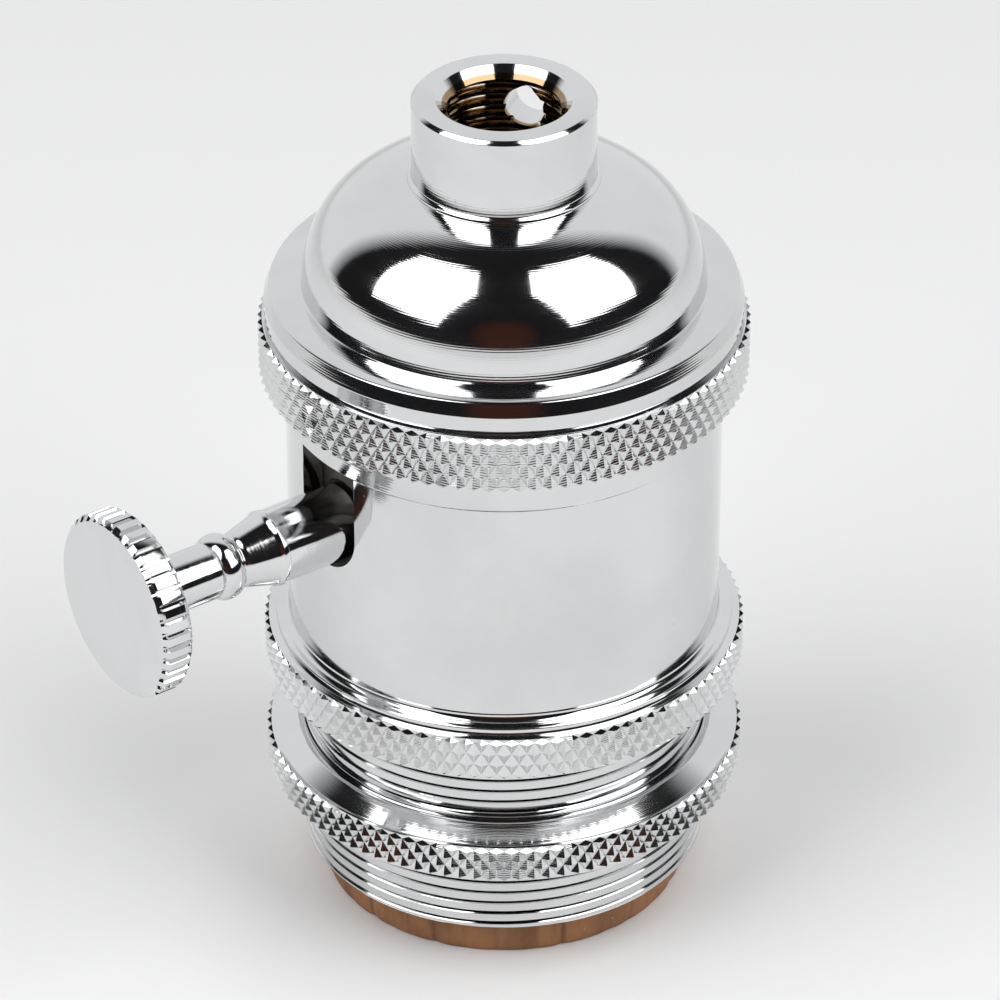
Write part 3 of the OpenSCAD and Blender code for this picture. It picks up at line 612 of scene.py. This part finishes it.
def scratch_group():
    """Short fine scratches in two directions."""
    group, given, out = new_group("Fine scratches", ["Scale"], ["Scratch"])
    lines = []
    for turn in (0.5, -0.9):
        spun = add(group, "Mapping", {
            "Vector": given["Place"], "Rotation": (turn, 0.3, turn), "Scale": (1, 14, 9)}).outputs[0]
        lines.append(ranged(group, noise(group, spun, given["Scale"]), 0.66, 0.72))
    fill(group, out, {"Scratch": maths(group, "MAXIMUM", *lines)})
    return group


GROUPS = {
    "Turning lines": turning_group,
    "Handling film": film_group,
    "Worn edges and hollow shade": wear_and_shade_group,
    "Fine scratches": scratch_group,
}


def use_group(tree, name, place, inputs):
    """Outputs of a shared node group, which is built the first time that a material asks for it."""
    node = tree.nodes.new("ShaderNodeGroup")
    node.node_tree = bpy.data.node_groups.get(name) or GROUPS[name]()
    fill(tree, node, {"Place": place, **inputs})
    return node.outputs


def bump(tree, height, distance, strength=1.0):
    """Normals of a bumpy surface."""
    return add(tree, "Bump", {"Height": height, "Distance": distance, "Strength": strength}).outputs[0]


def coat(tree, shader, tint, rough, normal, metallic):
    """Sets what every finish of the socket has."""
    fill(tree, shader, {"Base Color": tint, "Roughness": rough, "Metallic": metallic, "Normal": normal})


def new_material(name):
    """Material with a Principled BSDF: its node tree, its shader and the surface's own place."""
    material = bpy.data.materials.new(name)
    material.use_nodes = True
    tree = material.node_tree
    place = add(tree, "TexCoord").outputs["Object"]
    return material, tree, tree.nodes["Principled BSDF"], place


def colours():
    return bpy.context.scene.socket_colours


def chrome(name, spacing, line_depth, roughness, turn=None, cast=0.0, film_size=70.0, thin_r=0.0):
    """Chrome plating with turning lines round the piece's axis and a faint film, thin within a radius."""
    material, tree, shader, place = new_material(name)
    if turn is not None:
        place = add(tree, "Mapping", {
            "Vector": place, "Location": turn.to_translation(), "Rotation": turn.to_euler()}).outputs[0]
    lines = use_group(tree, "Turning lines", place, {"Spacing": spacing})
    film = use_group(tree, "Handling film", place, {"Clouds": film_size, "Specks": 900.0})
    rough = plus(tree, times(tree, film["Film"], 0.035), times(tree, lines["Bands"], 0.03))
    rough = plus(tree, plus(tree, rough, roughness), times(tree, film["Dust"], 0.3))
    tint = blended(tree, film["Film"], colours().chrome, colours().chrome_dull)
    if thin_r:
        split = add(tree, "SeparateXYZ", {0: place}).outputs
        flat = add(tree, "CombineXYZ", {"X": split["X"], "Y": split["Y"]}).outputs[0]
        radius = add(tree, "VectorMath", {0: flat}, operation="LENGTH").outputs["Value"]
        inside = ranged(tree, radius, thin_r, thin_r + 0.1 * MM, 1.0, 0.0)
        tint = blended(tree, inside, tint, colours().bronze)
    bumps = bump(tree, lines["Height"], line_depth)
    if cast:
        lumps = noise(tree, place, 520.0, distortion=0.5)
        fill(tree, bumps.node, {"Normal": bump(tree, lumps, cast)})
    coat(tree, shader, tint, rough, bumps, 1.0)
    return material


def metal(name, bright, dull_and_shade, roughness, grain, spacing=0.12 * MM):
    """Plain or plated metal with edge wear, a dull handling film, painted shade in its hollows and scratches.
    """
    material, tree, shader, place = new_material(name)
    wear_and_shade = use_group(tree, "Worn edges and hollow shade", place, {"Grain": grain})
    marks = use_group(tree, "Fine scratches", place, {"Scale": grain})
    film = use_group(tree, "Handling film", place, {"Clouds": 260.0, "Specks": 1500.0})
    lines = use_group(tree, "Turning lines", place, {"Spacing": spacing})
    # The dull colour shows under the handling film and, as painted shade, in the hollows
    film_and_hollow_shade = maths(tree, "MAXIMUM", film["Film"], wear_and_shade["Hollow shade"])
    tint = blended(tree, film_and_hollow_shade, bright, dull_and_shade)
    tint = blended(tree, maths(tree, "MAXIMUM", marks["Scratch"], wear_and_shade["Wear"]), tint, bright)
    rough = ranged(tree, film_and_hollow_shade, 0.0, 1.0, roughness, roughness + 0.22)
    height = maths(tree, "SUBTRACT", times(tree, lines["Height"], 0.3), marks["Scratch"])
    coat(tree, shader, tint, rough, bump(tree, height, 0.002 * MM), 1.0)
    return material


def moulded(name, dark, worn, roughness):
    """Moulded phenolic: flow marks, fine pits and paler edges."""
    material, tree, shader, place = new_material(name)
    wear_and_shade = use_group(tree, "Worn edges and hollow shade", place, {"Grain": 700.0})
    flow = noise(tree, place, 160.0, 5.0, 0.6, 1.6)
    pits = add(tree, "TexVoronoi", {"Vector": place, "Scale": 2600.0}).outputs["Distance"]
    tint = blended(tree, ranged(tree, flow, 0.35, 0.75, 0.0, 0.35), dark, worn)
    tint = blended(tree, times(tree, wear_and_shade["Wear"], 0.6), tint, worn)
    height = plus(tree, flow, times(tree, pits, 0.3))
    rough = ranged(tree, flow, 0.3, 0.7, roughness, roughness + 0.15)
    coat(tree, shader, tint, rough, bump(tree, height, 0.02 * MM, 0.6), 0.0)
    return material


def fibre(name):
    """Vulcanised fibre: a mottled brown sheet with fine strands, with painted shade in its creases."""
    material, tree, shader, place = new_material(name)
    fold = add(tree, "Attribute", attribute_name="fold").outputs["Fac"]
    stretched = add(tree, "Mapping", {"Vector": place, "Scale": (1, 1, 0.25)}).outputs[0]
    mottle = noise(tree, stretched, 420.0, 5.0, 0.62)
    strands = noise(tree, stretched, 2400.0, 3.0, 0.7)
    specks = use_group(tree, "Handling film", place, {"Clouds": 120.0, "Specks": 1500.0})
    shade = ranged(tree, mottle, 0.38, 0.68, 0.0, 0.55)
    tint = blended(tree, shade, colours().fibre, colours().fibre_dark)
    # Painted shade in the rim's creases
    tint = blended(tree, times(tree, fold, 0.85), tint, colours().fibre_dark)
    tint = blended(tree, times(tree, specks["Dust"], 0.5), tint, colours().paper)
    height = plus(tree, strands, times(tree, mottle, 0.8))
    rough = ranged(tree, strands, 0.3, 0.7, 0.5, 0.75)
    coat(tree, shader, tint, rough, bump(tree, height, 0.03 * MM, 0.8), 0.0)
    return material


# Pieces


class SOCKET_OT_cap(Operator):
    """Turned cap with its dome, cord neck and knurled edge"""

    bl_idname = "socket.cap"
    bl_label = "Cap"

    def execute(self, context):
        s = context.scene.socket_cap
        lip_z, top_z, crest = CAP_LOW.z, CAP_HIGH.z, CAP_HIGH.y
        root = crest - s.knurl_depth
        knurl_z = lip_z + s.lip_h
        knurl_top = knurl_z + s.knurl_h
        band_z = knurl_top + s.groove_h
        step_z = band_z + s.band_h
        shoulder_z = step_z + s.step_h
        foot_z = shoulder_z + s.shoulder_h
        dome_z = foot_z - s.dome_sink
        sink_z = top_z - (s.sink_r - s.bore_r)
        heights = knurl_heights(knurl_z, knurl_top, s.knurl_bevel, s.knurl_rows)
        bore = s.bore_r - THREAD_STEP
        inner = dome_points(s.dome_r - s.dome_wall, dome_z, s.dome_rise - s.dome_wall, s.dome_power, bore, 10)
        dome = dome_points(s.dome_r, dome_z, s.dome_rise, s.dome_power, s.neck_r, 28, s.dome_sink)
        foot_r, neck_z = dome[0][0], dome[-1][1]
        outline = inner[::-1] + [
            (s.socket_r, lip_z + s.socket_h), (s.socket_r, lip_z, SOFT), (s.lip_r, lip_z, 2 * SOFT),
            (s.lip_r, knurl_z, FINE),
        ]
        outline += knurl_points(crest, root, heights)
        outline += [(s.groove_r, knurl_top), (s.groove_r, knurl_top + FINE), (s.band_r, band_z, SOFT),
                    (s.band_r, step_z, FINE), (s.shoulder_r, shoulder_z, FINE)]
        outline += arc(foot_r, shoulder_z, s.shoulder_r - foot_r, s.shoulder_h, 0, 90, 14)[1:-1]
        outline += [(foot_r, foot_z, FINE)]
        outline += dome[1:-1]
        # The neck's foot stands in a shallow ditch
        foot_w, foot_step, dip = 0.35 * MM, 0.3 * MM, 0.1 * MM
        outline += [
            (s.neck_r + foot_w, neck_z - dip, FINE), (s.neck_r + foot_step, neck_z + SOFT, FINE),
            (s.neck_r, neck_z + foot_step, SOFT), (s.neck_r, top_z - s.neck_bevel, FINE),
            (s.neck_r - s.neck_bevel, top_z, FINE), (s.sink_r, top_z, FINE),
            (bore, sink_z),
        ]
        bm = bmesh.new()
        section = groove_section(s.bore_r, s.bore_r + s.thread_depth, 0.75)
        thread_z = inner[-1][1]
        spin_thread(bm, section, s.thread_pitch, thread_z, sink_z, 2 * s.teeth)
        spin_outline(bm, outline, 2 * s.teeth)
        bridge_rims(bm, (thread_z, sink_z), bore)
        close_up(bm)
        press_knurl(bm, crest, root, heights, s.teeth)
        piece = mesh_object(bm, "cap_body")
        hole = bmesh.new()
        bmesh.ops.create_cone(
            hole, cap_ends=True, segments=48, radius1=s.screw_d / 2, radius2=s.screw_d / 2,
            depth=s.neck_r, matrix=Matrix.Translation((0, 0, top_z - s.screw_drop))
            @ Matrix.Rotation(s.screw_turn, 4, "Z") @ Matrix.Translation((s.neck_r, 0, 0))
            @ Matrix.Rotation(math.pi / 2, 4, "Y"))
        cut(piece, hole)
        dress(piece, "holder", "cap_chrome", chrome(
            "Cap chrome", 0.25 * MM, 0.0013 * MM, 0.05, thin_r=s.bore_r + 0.6 * s.thread_depth), "cap")
        return {"FINISHED"}


class SOCKET_OT_shell(Operator):
    """Turned shell with its wall, knurled flange, threaded skirt and the slot for the knob"""

    bl_idname = "socket.shell"
    bl_label = "Shell"

    def execute(self, context):
        s = context.scene.socket_shell
        c = context.scene.socket_cap
        low, high = SHELL_LOW.z, SHELL_HIGH.z
        root = s.flange_r - c.knurl_depth
        skirt_root = s.skirt_r - s.thread_depth
        flange_top = s.flange_z + s.flange_h
        seat_z = flange_top + s.seat_h
        body_z = seat_z + s.fillet_r
        top_root = s.top_r - s.thread_depth
        thread_low = low + s.end_bevel
        thread_high = s.flange_z - s.plain_h
        heights = knurl_heights(s.flange_z, flange_top, c.knurl_bevel, s.knurl_rows)
        lip_gap = 0.05 * MM
        outline = [(s.skirt_r + THREAD_STEP, thread_high), (s.skirt_r, s.flange_z, FINE)]
        outline += knurl_points(s.flange_r, root, heights)
        outline += [(s.seat_r, flange_top, FINE), (s.seat_r, seat_z, SOFT)]
        outline += [(s.body_r + s.fillet_r, seat_z, FINE)]
        outline += arc(s.body_r + s.fillet_r, body_z, s.fillet_r, s.fillet_r, -90, -180, 8)[1:]
        outline += [
            (s.body_r, CAP_LOW.z - lip_gap, SOFT), (top_root, CAP_LOW.z - lip_gap, FINE),
            (top_root, CAP_LOW.z + s.plain_h), (s.top_r, CAP_LOW.z + s.plain_h),
            (s.top_r, high - s.end_bevel), (top_root, high, FINE), (s.bore_r, high, FINE),
            (s.bore_r, s.ledge_z), (s.skirt_bore_r, s.ledge_z), (s.skirt_bore_r, low, FINE),
            (skirt_root, low, FINE), (s.skirt_r + THREAD_STEP, thread_low),
        ]
        bm = bmesh.new()
        section = groove_section(s.skirt_r, skirt_root, s.groove_share)
        spin_thread(bm, section, s.thread_pitch, thread_low, thread_high, 2 * s.teeth)
        spin_outline(bm, outline, 2 * s.teeth)
        bridge_rims(bm, (thread_low, thread_high), s.skirt_r + THREAD_STEP)
        close_up(bm)
        press_knurl(bm, s.flange_r, root, heights, s.teeth)
        piece = mesh_object(bm, "shell_body")
        cut(piece, self.slot_tool(s, high))
        radius = s.slot_w / 2
        slack = 0.02 * MM

        def on_slot(edge):
            """Edges where the slot meets the outside of the wall, below the cap."""
            return all(
                p.x < 0 and abs(math.hypot(p.x, p.y) - s.body_r) < slack and p.z < CAP_LOW.z
                and abs((abs(p.y) if p.z > AXIS_Z else math.hypot(p.y, p.z - AXIS_Z)) - radius) < slack
                for p in (v.co for v in edge.verts))

        round_edges(piece, on_slot, s.slot_round, 3)
        dress(piece, "holder", "shell_chrome", chrome("Shell chrome", 0.2 * MM, 0.0004 * MM, 0.05), "shell")
        return {"FINISHED"}

    def slot_tool(self, s, high):
        """Round-bottomed block on the knob's axis, taller than the wall over it."""
        tool = bmesh.new()
        bmesh.ops.create_circle(
            tool, cap_ends=True, segments=64, radius=s.slot_w / 2,
            matrix=Matrix.Translation((-s.body_r - OVER, 0, AXIS_Z)) @ Matrix.Rotation(math.pi / 2, 4, "Y"))
        upper = [v for v in tool.verts if v.co.z > AXIS_Z + WELD]
        bmesh.ops.translate(tool, verts=upper, vec=(0, 0, high - AXIS_Z + OVER))
        grown = bmesh.ops.extrude_face_region(tool, geom=tool.faces[:])
        far = [v for v in grown["geom"] if isinstance(v, bmesh.types.BMVert)]
        bmesh.ops.translate(tool, verts=far, vec=(s.body_r / 2, 0, 0))
        bmesh.ops.recalc_face_normals(tool, faces=tool.faces[:])
        return tool


class SOCKET_OT_ring(Operator):
    """Knurled ring that holds a shade against the flange"""

    bl_idname = "socket.ring"
    bl_label = "Shade Ring"

    def execute(self, context):
        s = context.scene.socket_ring
        c = context.scene.socket_cap
        low, high = RING_LOW.z, RING_HIGH.z
        root = s.outer_r - c.knurl_depth
        edge_z = low + s.knurl_h
        heights = knurl_heights(low, edge_z, c.knurl_bevel, s.knurl_rows)
        soft = 0.15 * MM
        outline = knurl_points(s.outer_r, root, heights)
        outline += [
            (root - s.shelf_w, edge_z, FINE), (s.bore_r + s.land_w, high, soft), (s.bore_r, high, soft),
            (s.bore_r, low, soft),
        ]
        bm = bmesh.new()
        spin_outline(bm, outline, 2 * s.teeth, closed=True)
        close_up(bm)
        press_knurl(bm, s.outer_r, root, heights, s.teeth)
        piece = mesh_object(bm, "ring_body")
        dress(piece, "ring", "ring_chrome", chrome("Ring chrome", 0.19 * MM, 0.0008 * MM, 0.06), "shade_ring")
        return {"FINISHED"}


class SOCKET_OT_knob(Operator):
    """Cast knob with a toothed disc, a round collar and a tapered stem"""

    bl_idname = "socket.knob"
    bl_label = "Turn Knob"

    def execute(self, context):
        s = context.scene.socket_knob
        wall_x = -context.scene.socket_shell.body_r
        inner = wall_x - KNOB_HIGH.x
        face = wall_x - KNOB_LOW.x
        back = face - s.disc_w
        fine = 0.05 * MM
        soft = 0.15 * MM
        columns = 8 * s.teeth
        collar_z = s.taper_end + s.groove_w + s.collar_w / 2
        outline = [
            (0, inner + s.bore_h), (s.bore_r, inner + s.bore_h), (s.bore_r, inner),
            (s.stem_r, inner, 2 * soft), (s.stem_r, s.plain_h - s.ridge_w, fine),
            (s.stem_r + s.ridge, s.plain_h - s.ridge_w, fine), (s.stem_r + s.ridge, s.plain_h, fine),
            (s.stem_r - s.ridge, s.plain_h + 3 * s.ridge, soft),
            (s.groove_r + 2 * s.ridge, s.taper_end - 2 * s.ridge, soft),
            (s.groove_r, s.taper_end + s.groove_w / 2, soft),
        ]
        outline += arc(s.groove_r, collar_z, s.collar_r - s.groove_r, s.collar_w / 2, -90, 90, 14)[1:-1]
        outline += [(s.neck_r, collar_z + s.collar_w / 2, soft)]
        outline += arc(s.flare_r, back - s.flare_h, s.flare_r - s.neck_r, s.flare_h, 180, 90, 8)[:-1]
        outline += [
            (s.flare_r, back, soft), (KNOB_R - s.bevel, back, fine), (KNOB_R, back + s.bevel, fine),
            (KNOB_R, face - s.bevel, fine), (KNOB_R - s.bevel, face, fine), (0, face),
        ]
        bm = bmesh.new()
        spin_outline(bm, outline, columns)
        close_up(bm)
        self.cut_teeth(bm, s, back, columns)
        bmesh.ops.transform(
            bm, verts=bm.verts[:], space=Matrix.Identity(4),
            matrix=Matrix.Translation((wall_x, 0, AXIS_Z)) @ Matrix.Rotation(-math.pi / 2, 4, "Y"))
        bmesh.ops.recalc_face_normals(bm, faces=bm.faces[:])
        piece = mesh_object(bm, "knob_casting")
        turn = Matrix.Rotation(math.pi / 2, 4, "Y") @ Matrix.Translation((0, 0, -AXIS_Z))
        material = chrome("Knob chrome", 0.14 * MM, 0.0006 * MM, 0.055, turn, cast=0.012 * MM)
        dress(piece, "knob", "knob_chrome", material, "turn_knob")
        return {"FINISHED"}

    def cut_teeth(self, bm, s, back, columns):
        """Moves the columns of the disc's edge into grooves and lands."""
        per_tooth = columns // s.teeth
        bottom, flank = 0.6, 1.9
        lowest = KNOB_R - s.bevel - WELD
        for v in bm.verts:
            radius = radius_of(v)
            if v.co.z < back - WELD or radius < lowest:
                continue
            column = round(turn_of(v) / math.tau * columns)
            phase = (column + per_tooth // 2) % per_tooth - per_tooth // 2
            place = {0: 0, 1: bottom, 2: flank}.get(abs(phase), abs(phase))
            deep = s.tooth_depth if place <= bottom else 0
            deep = max(0, deep - (KNOB_R - radius))
            turn = (column - phase + math.copysign(place, phase)) / columns * math.tau
            v.co.x = (radius - deep) * math.cos(turn)
            v.co.y = (radius - deep) * math.sin(turn)


class SOCKET_OT_liner(Operator):
    """Fibre tube round the lamp thread, with the creased rim that the socket stands on"""

    bl_idname = "socket.liner"
    bl_label = "Fibre Liner"

    def execute(self, context):
        s = context.scene.socket_liner
        low, high, outer = LINER_LOW.z, LINER_HIGH.z, LINER_HIGH.y
        inner = outer - s.wall
        round_r = 0.15 * MM
        outline = arc(outer - s.curl, low + s.curl_h, s.curl, s.curl_h, 0, -80, 7)[::-1]
        outline += [(outer, high, round_r), (inner, high, round_r)]
        outline += arc(inner - s.curl, low + s.curl_h, s.curl, s.curl_h - round_r, 0, -80, 7)
        bm = bmesh.new()
        spin_outline(bm, outline, 16 * s.folds, closed=True)
        close_up(bm)
        crease_shade_layer = bm.verts.layers.float.new("fold")
        chance = random.Random(7)
        creases = []
        jitter, width_share = 0.28, 0.32
        for i in range(s.folds):
            turn = (i + chance.uniform(-jitter, jitter)) / s.folds * math.tau
            creases.append((turn, chance.choice((0.25, 0.4, 1.0)) * chance.uniform(0.8, 1.0)))
        width = width_share / s.folds * math.tau
        for v in bm.verts:
            turn = turn_of(v) % math.tau
            near = [(abs((turn - t + math.pi) % math.tau - math.pi), deep) for t, deep in creases]
            gap, deep = min(near)
            drop = max(0.0, 1 - (v.co.z - low) / (1.4 * s.curl_h))
            sink = deep * drop * max(0.0, 1 - gap / width) ** 1.5
            # This layer marks the creases where the fibre gets painted shade
            v[crease_shade_layer] = min(1.0, deep * max(0.0, 1 - gap / (0.35 * width)) * (1 if drop > 0 else 0))
            scale = 1 - sink * s.fold_depth / outer
            v.co.x *= scale
            v.co.y *= scale
        piece = mesh_object(bm, "liner_tube")
        dress(piece, "holder", "fibre", fibre("Fibre"), "fibre_liner")
        return {"FINISHED"}


class SOCKET_OT_lamp_shell(Operator):
    """Pressed shell with the round thread that the lamp screws into"""

    bl_idname = "socket.lamp_shell"
    bl_label = "Lamp Thread"

    def execute(self, context):
        s = context.scene.socket_lamp
        low, high = LAMP_LOW.z, LAMP_HIGH.z
        columns = 120
        steps = 12
        end_h = 0.5 * MM
        soft = 0.2 * MM
        roof = high - s.sheet
        thread_low, thread_high = low + end_h, low + s.thread_h - end_h
        collar_r = s.crest_r + s.collar_step
        plain_r = s.crest_r - THREAD_STEP
        section = [
            (s.crest_r + s.depth * (0.5 - 0.5 * math.cos(math.tau * i / steps)), i / steps)
            for i in range(steps + 1)]
        bm = bmesh.new()
        spin_thread(bm, section, s.pitch, thread_low, thread_high, columns)
        collar_z = low + s.thread_h
        spin_outline(bm, [
            (plain_r, thread_high), (s.crest_r, collar_z), (collar_r, collar_z + s.collar_step, soft),
            (collar_r, roof, soft), (s.flange_r, roof)], columns)
        spin_outline(bm, [(s.crest_r, low), (plain_r, thread_low)], columns)
        bridge_rims(bm, (thread_low, thread_high), plain_r)
        bmesh.ops.recalc_face_normals(bm, faces=bm.faces[:])
        if sum(e.is_boundary for e in bm.edges) != 2 * columns:
            raise RuntimeError("the lamp thread's shell isn't open just at its mouth and its flange")
        piece = mesh_object(bm, "lamp_thread_shell")
        wall = piece.modifiers.new("sheet", "SOLIDIFY")
        wall.thickness = s.sheet
        wall.offset = 1 if self.faces_out(piece) else -1
        finish = metal("Nickelled shell", colours().nickel, colours().nickel_dark, 0.2, 300.0)
        dress(piece, "holder", "shell_brass", finish, "screw_shell")
        return {"FINISHED"}

    def faces_out(self, piece):
        """True where the wall's faces look away from the axis."""
        return sum(p.normal.x * p.center.x + p.normal.y * p.center.y for p in piece.data.polygons) > 0


class SOCKET_OT_switch(Operator):
    """Finish of the switch parts inside, which keep their built shape"""

    bl_idname = "socket.switch"
    bl_label = "Switch Parts"

    def execute(self, context):
        c = colours()
        black = moulded("Black moulding", c.moulding, c.moulding_worn, 0.32)
        brown = moulded("Rotor moulding", c.rotor, c.moulding_worn, 0.38)
        # Each metal's second colour shows under its handling film and, as painted shade, in its hollows
        brass = metal("Brass", c.brass, c.brass_dark, 0.22, 420.0)
        nickel = metal("Nickelled brass", c.nickel, c.nickel_dark, 0.22, 420.0)
        steel = metal("Zinc plated steel", c.steel, c.steel_dark, 0.26, 500.0)
        spring = metal("Spring steel", c.steel_dark, c.moulding_worn, 0.3, 700.0)
        # The shaft bushing is coloured near black as painted shade inside the slot
        bushing_in_shade = metal("Brass in painted shade", c.bushing_shade_tint, c.moulding, 0.45, 420.0)
        finishes = {
            black: ["switch_base", "switch_cover"],
            brown: ["rotor"],
            brass: ["centre_contact", "rotor_contact", "load_contact", "live_terminal", "live_screw"],
            bushing_in_shade: ["shaft_bushing"],
            nickel: ["neutral_terminal", "screw_shell_rivets", "contact_rivet"],
            steel: ["switch_shaft", "neutral_screw", "body_screws"],
            spring: ["index_spring", "rotor_clip"],
        }
        for material, names in finishes.items():
            for name in names:
                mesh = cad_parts[name].data
                mesh.materials.clear()
                mesh.materials.append(material)
        return {"FINISHED"}


class SOCKET_OT_studio(Operator):
    """Pale floor, two softboxes and the camera"""

    bl_idname = "socket.studio"
    bl_label = "Studio"

    def execute(self, context):
        s = context.scene.socket_studio
        self.add_camera(context, s)
        self.add_floor(s)
        self.add_world(context, s)
        for side in (-1, 1):
            self.add_softbox(s, side)
        context.scene.view_settings.view_transform = "Standard"
        return {"FINISHED"}

    def toward(self, azimuth, elevation):
        """Direction from the socket, where an azimuth of 0 is the side that faces -Y."""
        flat = math.cos(elevation)
        return Vector((math.sin(azimuth) * flat, -math.cos(azimuth) * flat, math.sin(elevation)))

    def add_camera(self, context, s):
        data = bpy.data.cameras.new("camera")
        data.lens = s.lens
        data.sensor_width = 36
        data.shift_x = s.shift
        data.clip_start = 0.01
        data.clip_end = 20
        camera = bpy.data.objects.new("camera", data)
        context.scene.collection.objects.link(camera)
        away = self.toward(s.azimuth, s.elevation)
        camera.location = Vector((0, 0, s.target_z)) + away * s.distance
        camera.rotation_euler = away.to_track_quat("Z", "Y").to_euler()
        context.scene.camera = camera

    def add_floor(self, s):
        """Sheet of pale paper that glows a little more where the lamps no longer reach it."""
        bm = bmesh.new()
        bmesh.ops.create_circle(
            bm, cap_ends=True, segments=96, radius=FLOOR_R, matrix=Matrix.Translation((0, 0, CAD_BOX[0].z)))
        floor = mesh_object(bm, "floor")
        material, tree, shader, place = new_material("Paper")
        length = add(tree, "VectorMath", {0: place}, operation="LENGTH").outputs["Value"]
        far = ranged(tree, length, *FLOOR_FADE)
        paper = colours().paper
        glow = add(tree, "Emission", {"Color": opaque(paper), "Strength": 1.0})
        fill(tree, shader, {"Base Color": opaque(paper), "Roughness": 0.9, "Specular IOR Level": 0.0})
        mixed = add(tree, "MixShader", {0: far, 1: shader.outputs[0], 2: glow.outputs[0]})
        tree.links.new(mixed.outputs[0], tree.nodes["Material Output"].inputs["Surface"])
        floor.data.materials.append(material)

    def add_world(self, context, s):
        """Dark room on the camera's side, a pale backdrop behind the socket and pale below."""
        world = bpy.data.worlds.new("studio")
        context.scene.world = world
        world.use_nodes = True
        tree = world.node_tree
        direction = add(tree, "TexCoord").outputs["Generated"]
        behind = -self.toward(s.azimuth, 0)
        back = add(tree, "VectorMath", {0: direction, 1: behind}, operation="DOT_PRODUCT").outputs["Value"]
        height = add(tree, "SeparateXYZ", {0: direction}).outputs["Z"]
        backdrop = ranged(tree, back, *BACKDROP_EDGE)
        below = ranged(tree, height, *GROUND_EDGE)
        warm = self.toward(s.azimuth, WARM_RISE)
        ahead = add(tree, "VectorMath", {0: direction, 1: warm}, operation="DOT_PRODUCT").outputs["Value"]
        room = blended(tree, ranged(tree, ahead, *WARM_EDGE), colours().room, colours().room_warm)
        tint = blended(tree, backdrop, room, colours().backdrop)
        tint = blended(tree, below, tint, colours().paper)
        seen = add(tree, "LightPath").outputs["Is Camera Ray"]
        tint = blended(tree, seen, tint, colours().backdrop_seen)
        fill(tree, tree.nodes["Background"], {"Color": tint, "Strength": 1.0})

    def add_softbox(self, s, side):
        """Glowing sheet whose upper corner on the camera's side is folded away."""
        bm = bmesh.new()
        corners = [bm.verts.new((-side * u * s.lamp_w, v * s.lamp_h, 0)) for u, v in SOFTBOX_OUTLINE]
        bmesh.ops.contextual_create(bm, geom=corners)
        softbox = mesh_object(bm, "softbox")
        away = self.toward(s.azimuth + side * s.lamp_side, s.lamp_rise)
        softbox.location = Vector((0, 0, MIDDLE_Z)) + away * s.lamp_distance
        softbox.rotation_euler = away.to_track_quat("Z", "Y").to_euler()
        softbox.visible_camera = False
        material, tree = new_material("Softbox")[:2]
        glow = add(tree, "Emission", {"Color": (1, 1, 1, 1), "Strength": s.lamp_glow})
        tree.links.new(glow.outputs[0], tree.nodes["Material Output"].inputs["Surface"])
        softbox.data.materials.append(material)


class SOCKET_PT_panel(Panel):
    """Buttons for the pieces of the socket and its studio"""

    bl_idname = "SOCKET_PT_panel"
    bl_label = "Lamp Socket"
    bl_space_type = "VIEW_3D"
    bl_region_type = "UI"
    bl_category = "Lamp Socket"

    def draw(self, context):
        for operator in OPERATORS:
            self.layout.operator(operator.bl_idname)
        for name in SETTINGS:
            box = self.layout.box()
            group = getattr(context.scene, name)
            for key in group.bl_rna.properties.keys():
                if key not in ("name", "rna_type"):
                    box.prop(group, key)


SETTINGS = {
    "socket_cap": CapSizes,
    "socket_shell": ShellSizes,
    "socket_ring": RingSizes,
    "socket_knob": KnobSizes,
    "socket_liner": LinerSizes,
    "socket_lamp": LampThreadSizes,
    "socket_colours": FinishColours,
    "socket_studio": StudioSizes,
}
OPERATORS = (
    SOCKET_OT_cap,
    SOCKET_OT_shell,
    SOCKET_OT_ring,
    SOCKET_OT_knob,
    SOCKET_OT_liner,
    SOCKET_OT_lamp_shell,
    SOCKET_OT_switch,
    SOCKET_OT_studio,
)


def register():
    for kind in (*SETTINGS.values(), *OPERATORS, SOCKET_PT_panel):
        bpy.utils.register_class(kind)
    for name, group in SETTINGS.items():
        setattr(bpy.types.Scene, name, PointerProperty(type=group))


def unregister():
    for name in SETTINGS:
        delattr(bpy.types.Scene, name)
    for kind in (SOCKET_PT_panel, *reversed(OPERATORS), *reversed(list(SETTINGS.values()))):
        bpy.utils.unregister_class(kind)


def main():
    register()
    bpy.ops.socket.studio()
    bpy.ops.socket.cap()
    bpy.ops.socket.shell()
    bpy.ops.socket.ring()
    bpy.ops.socket.knob()
    bpy.ops.socket.liner()
    bpy.ops.socket.lamp_shell()
    bpy.ops.socket.switch()


if __name__ == "__main__":
    main()
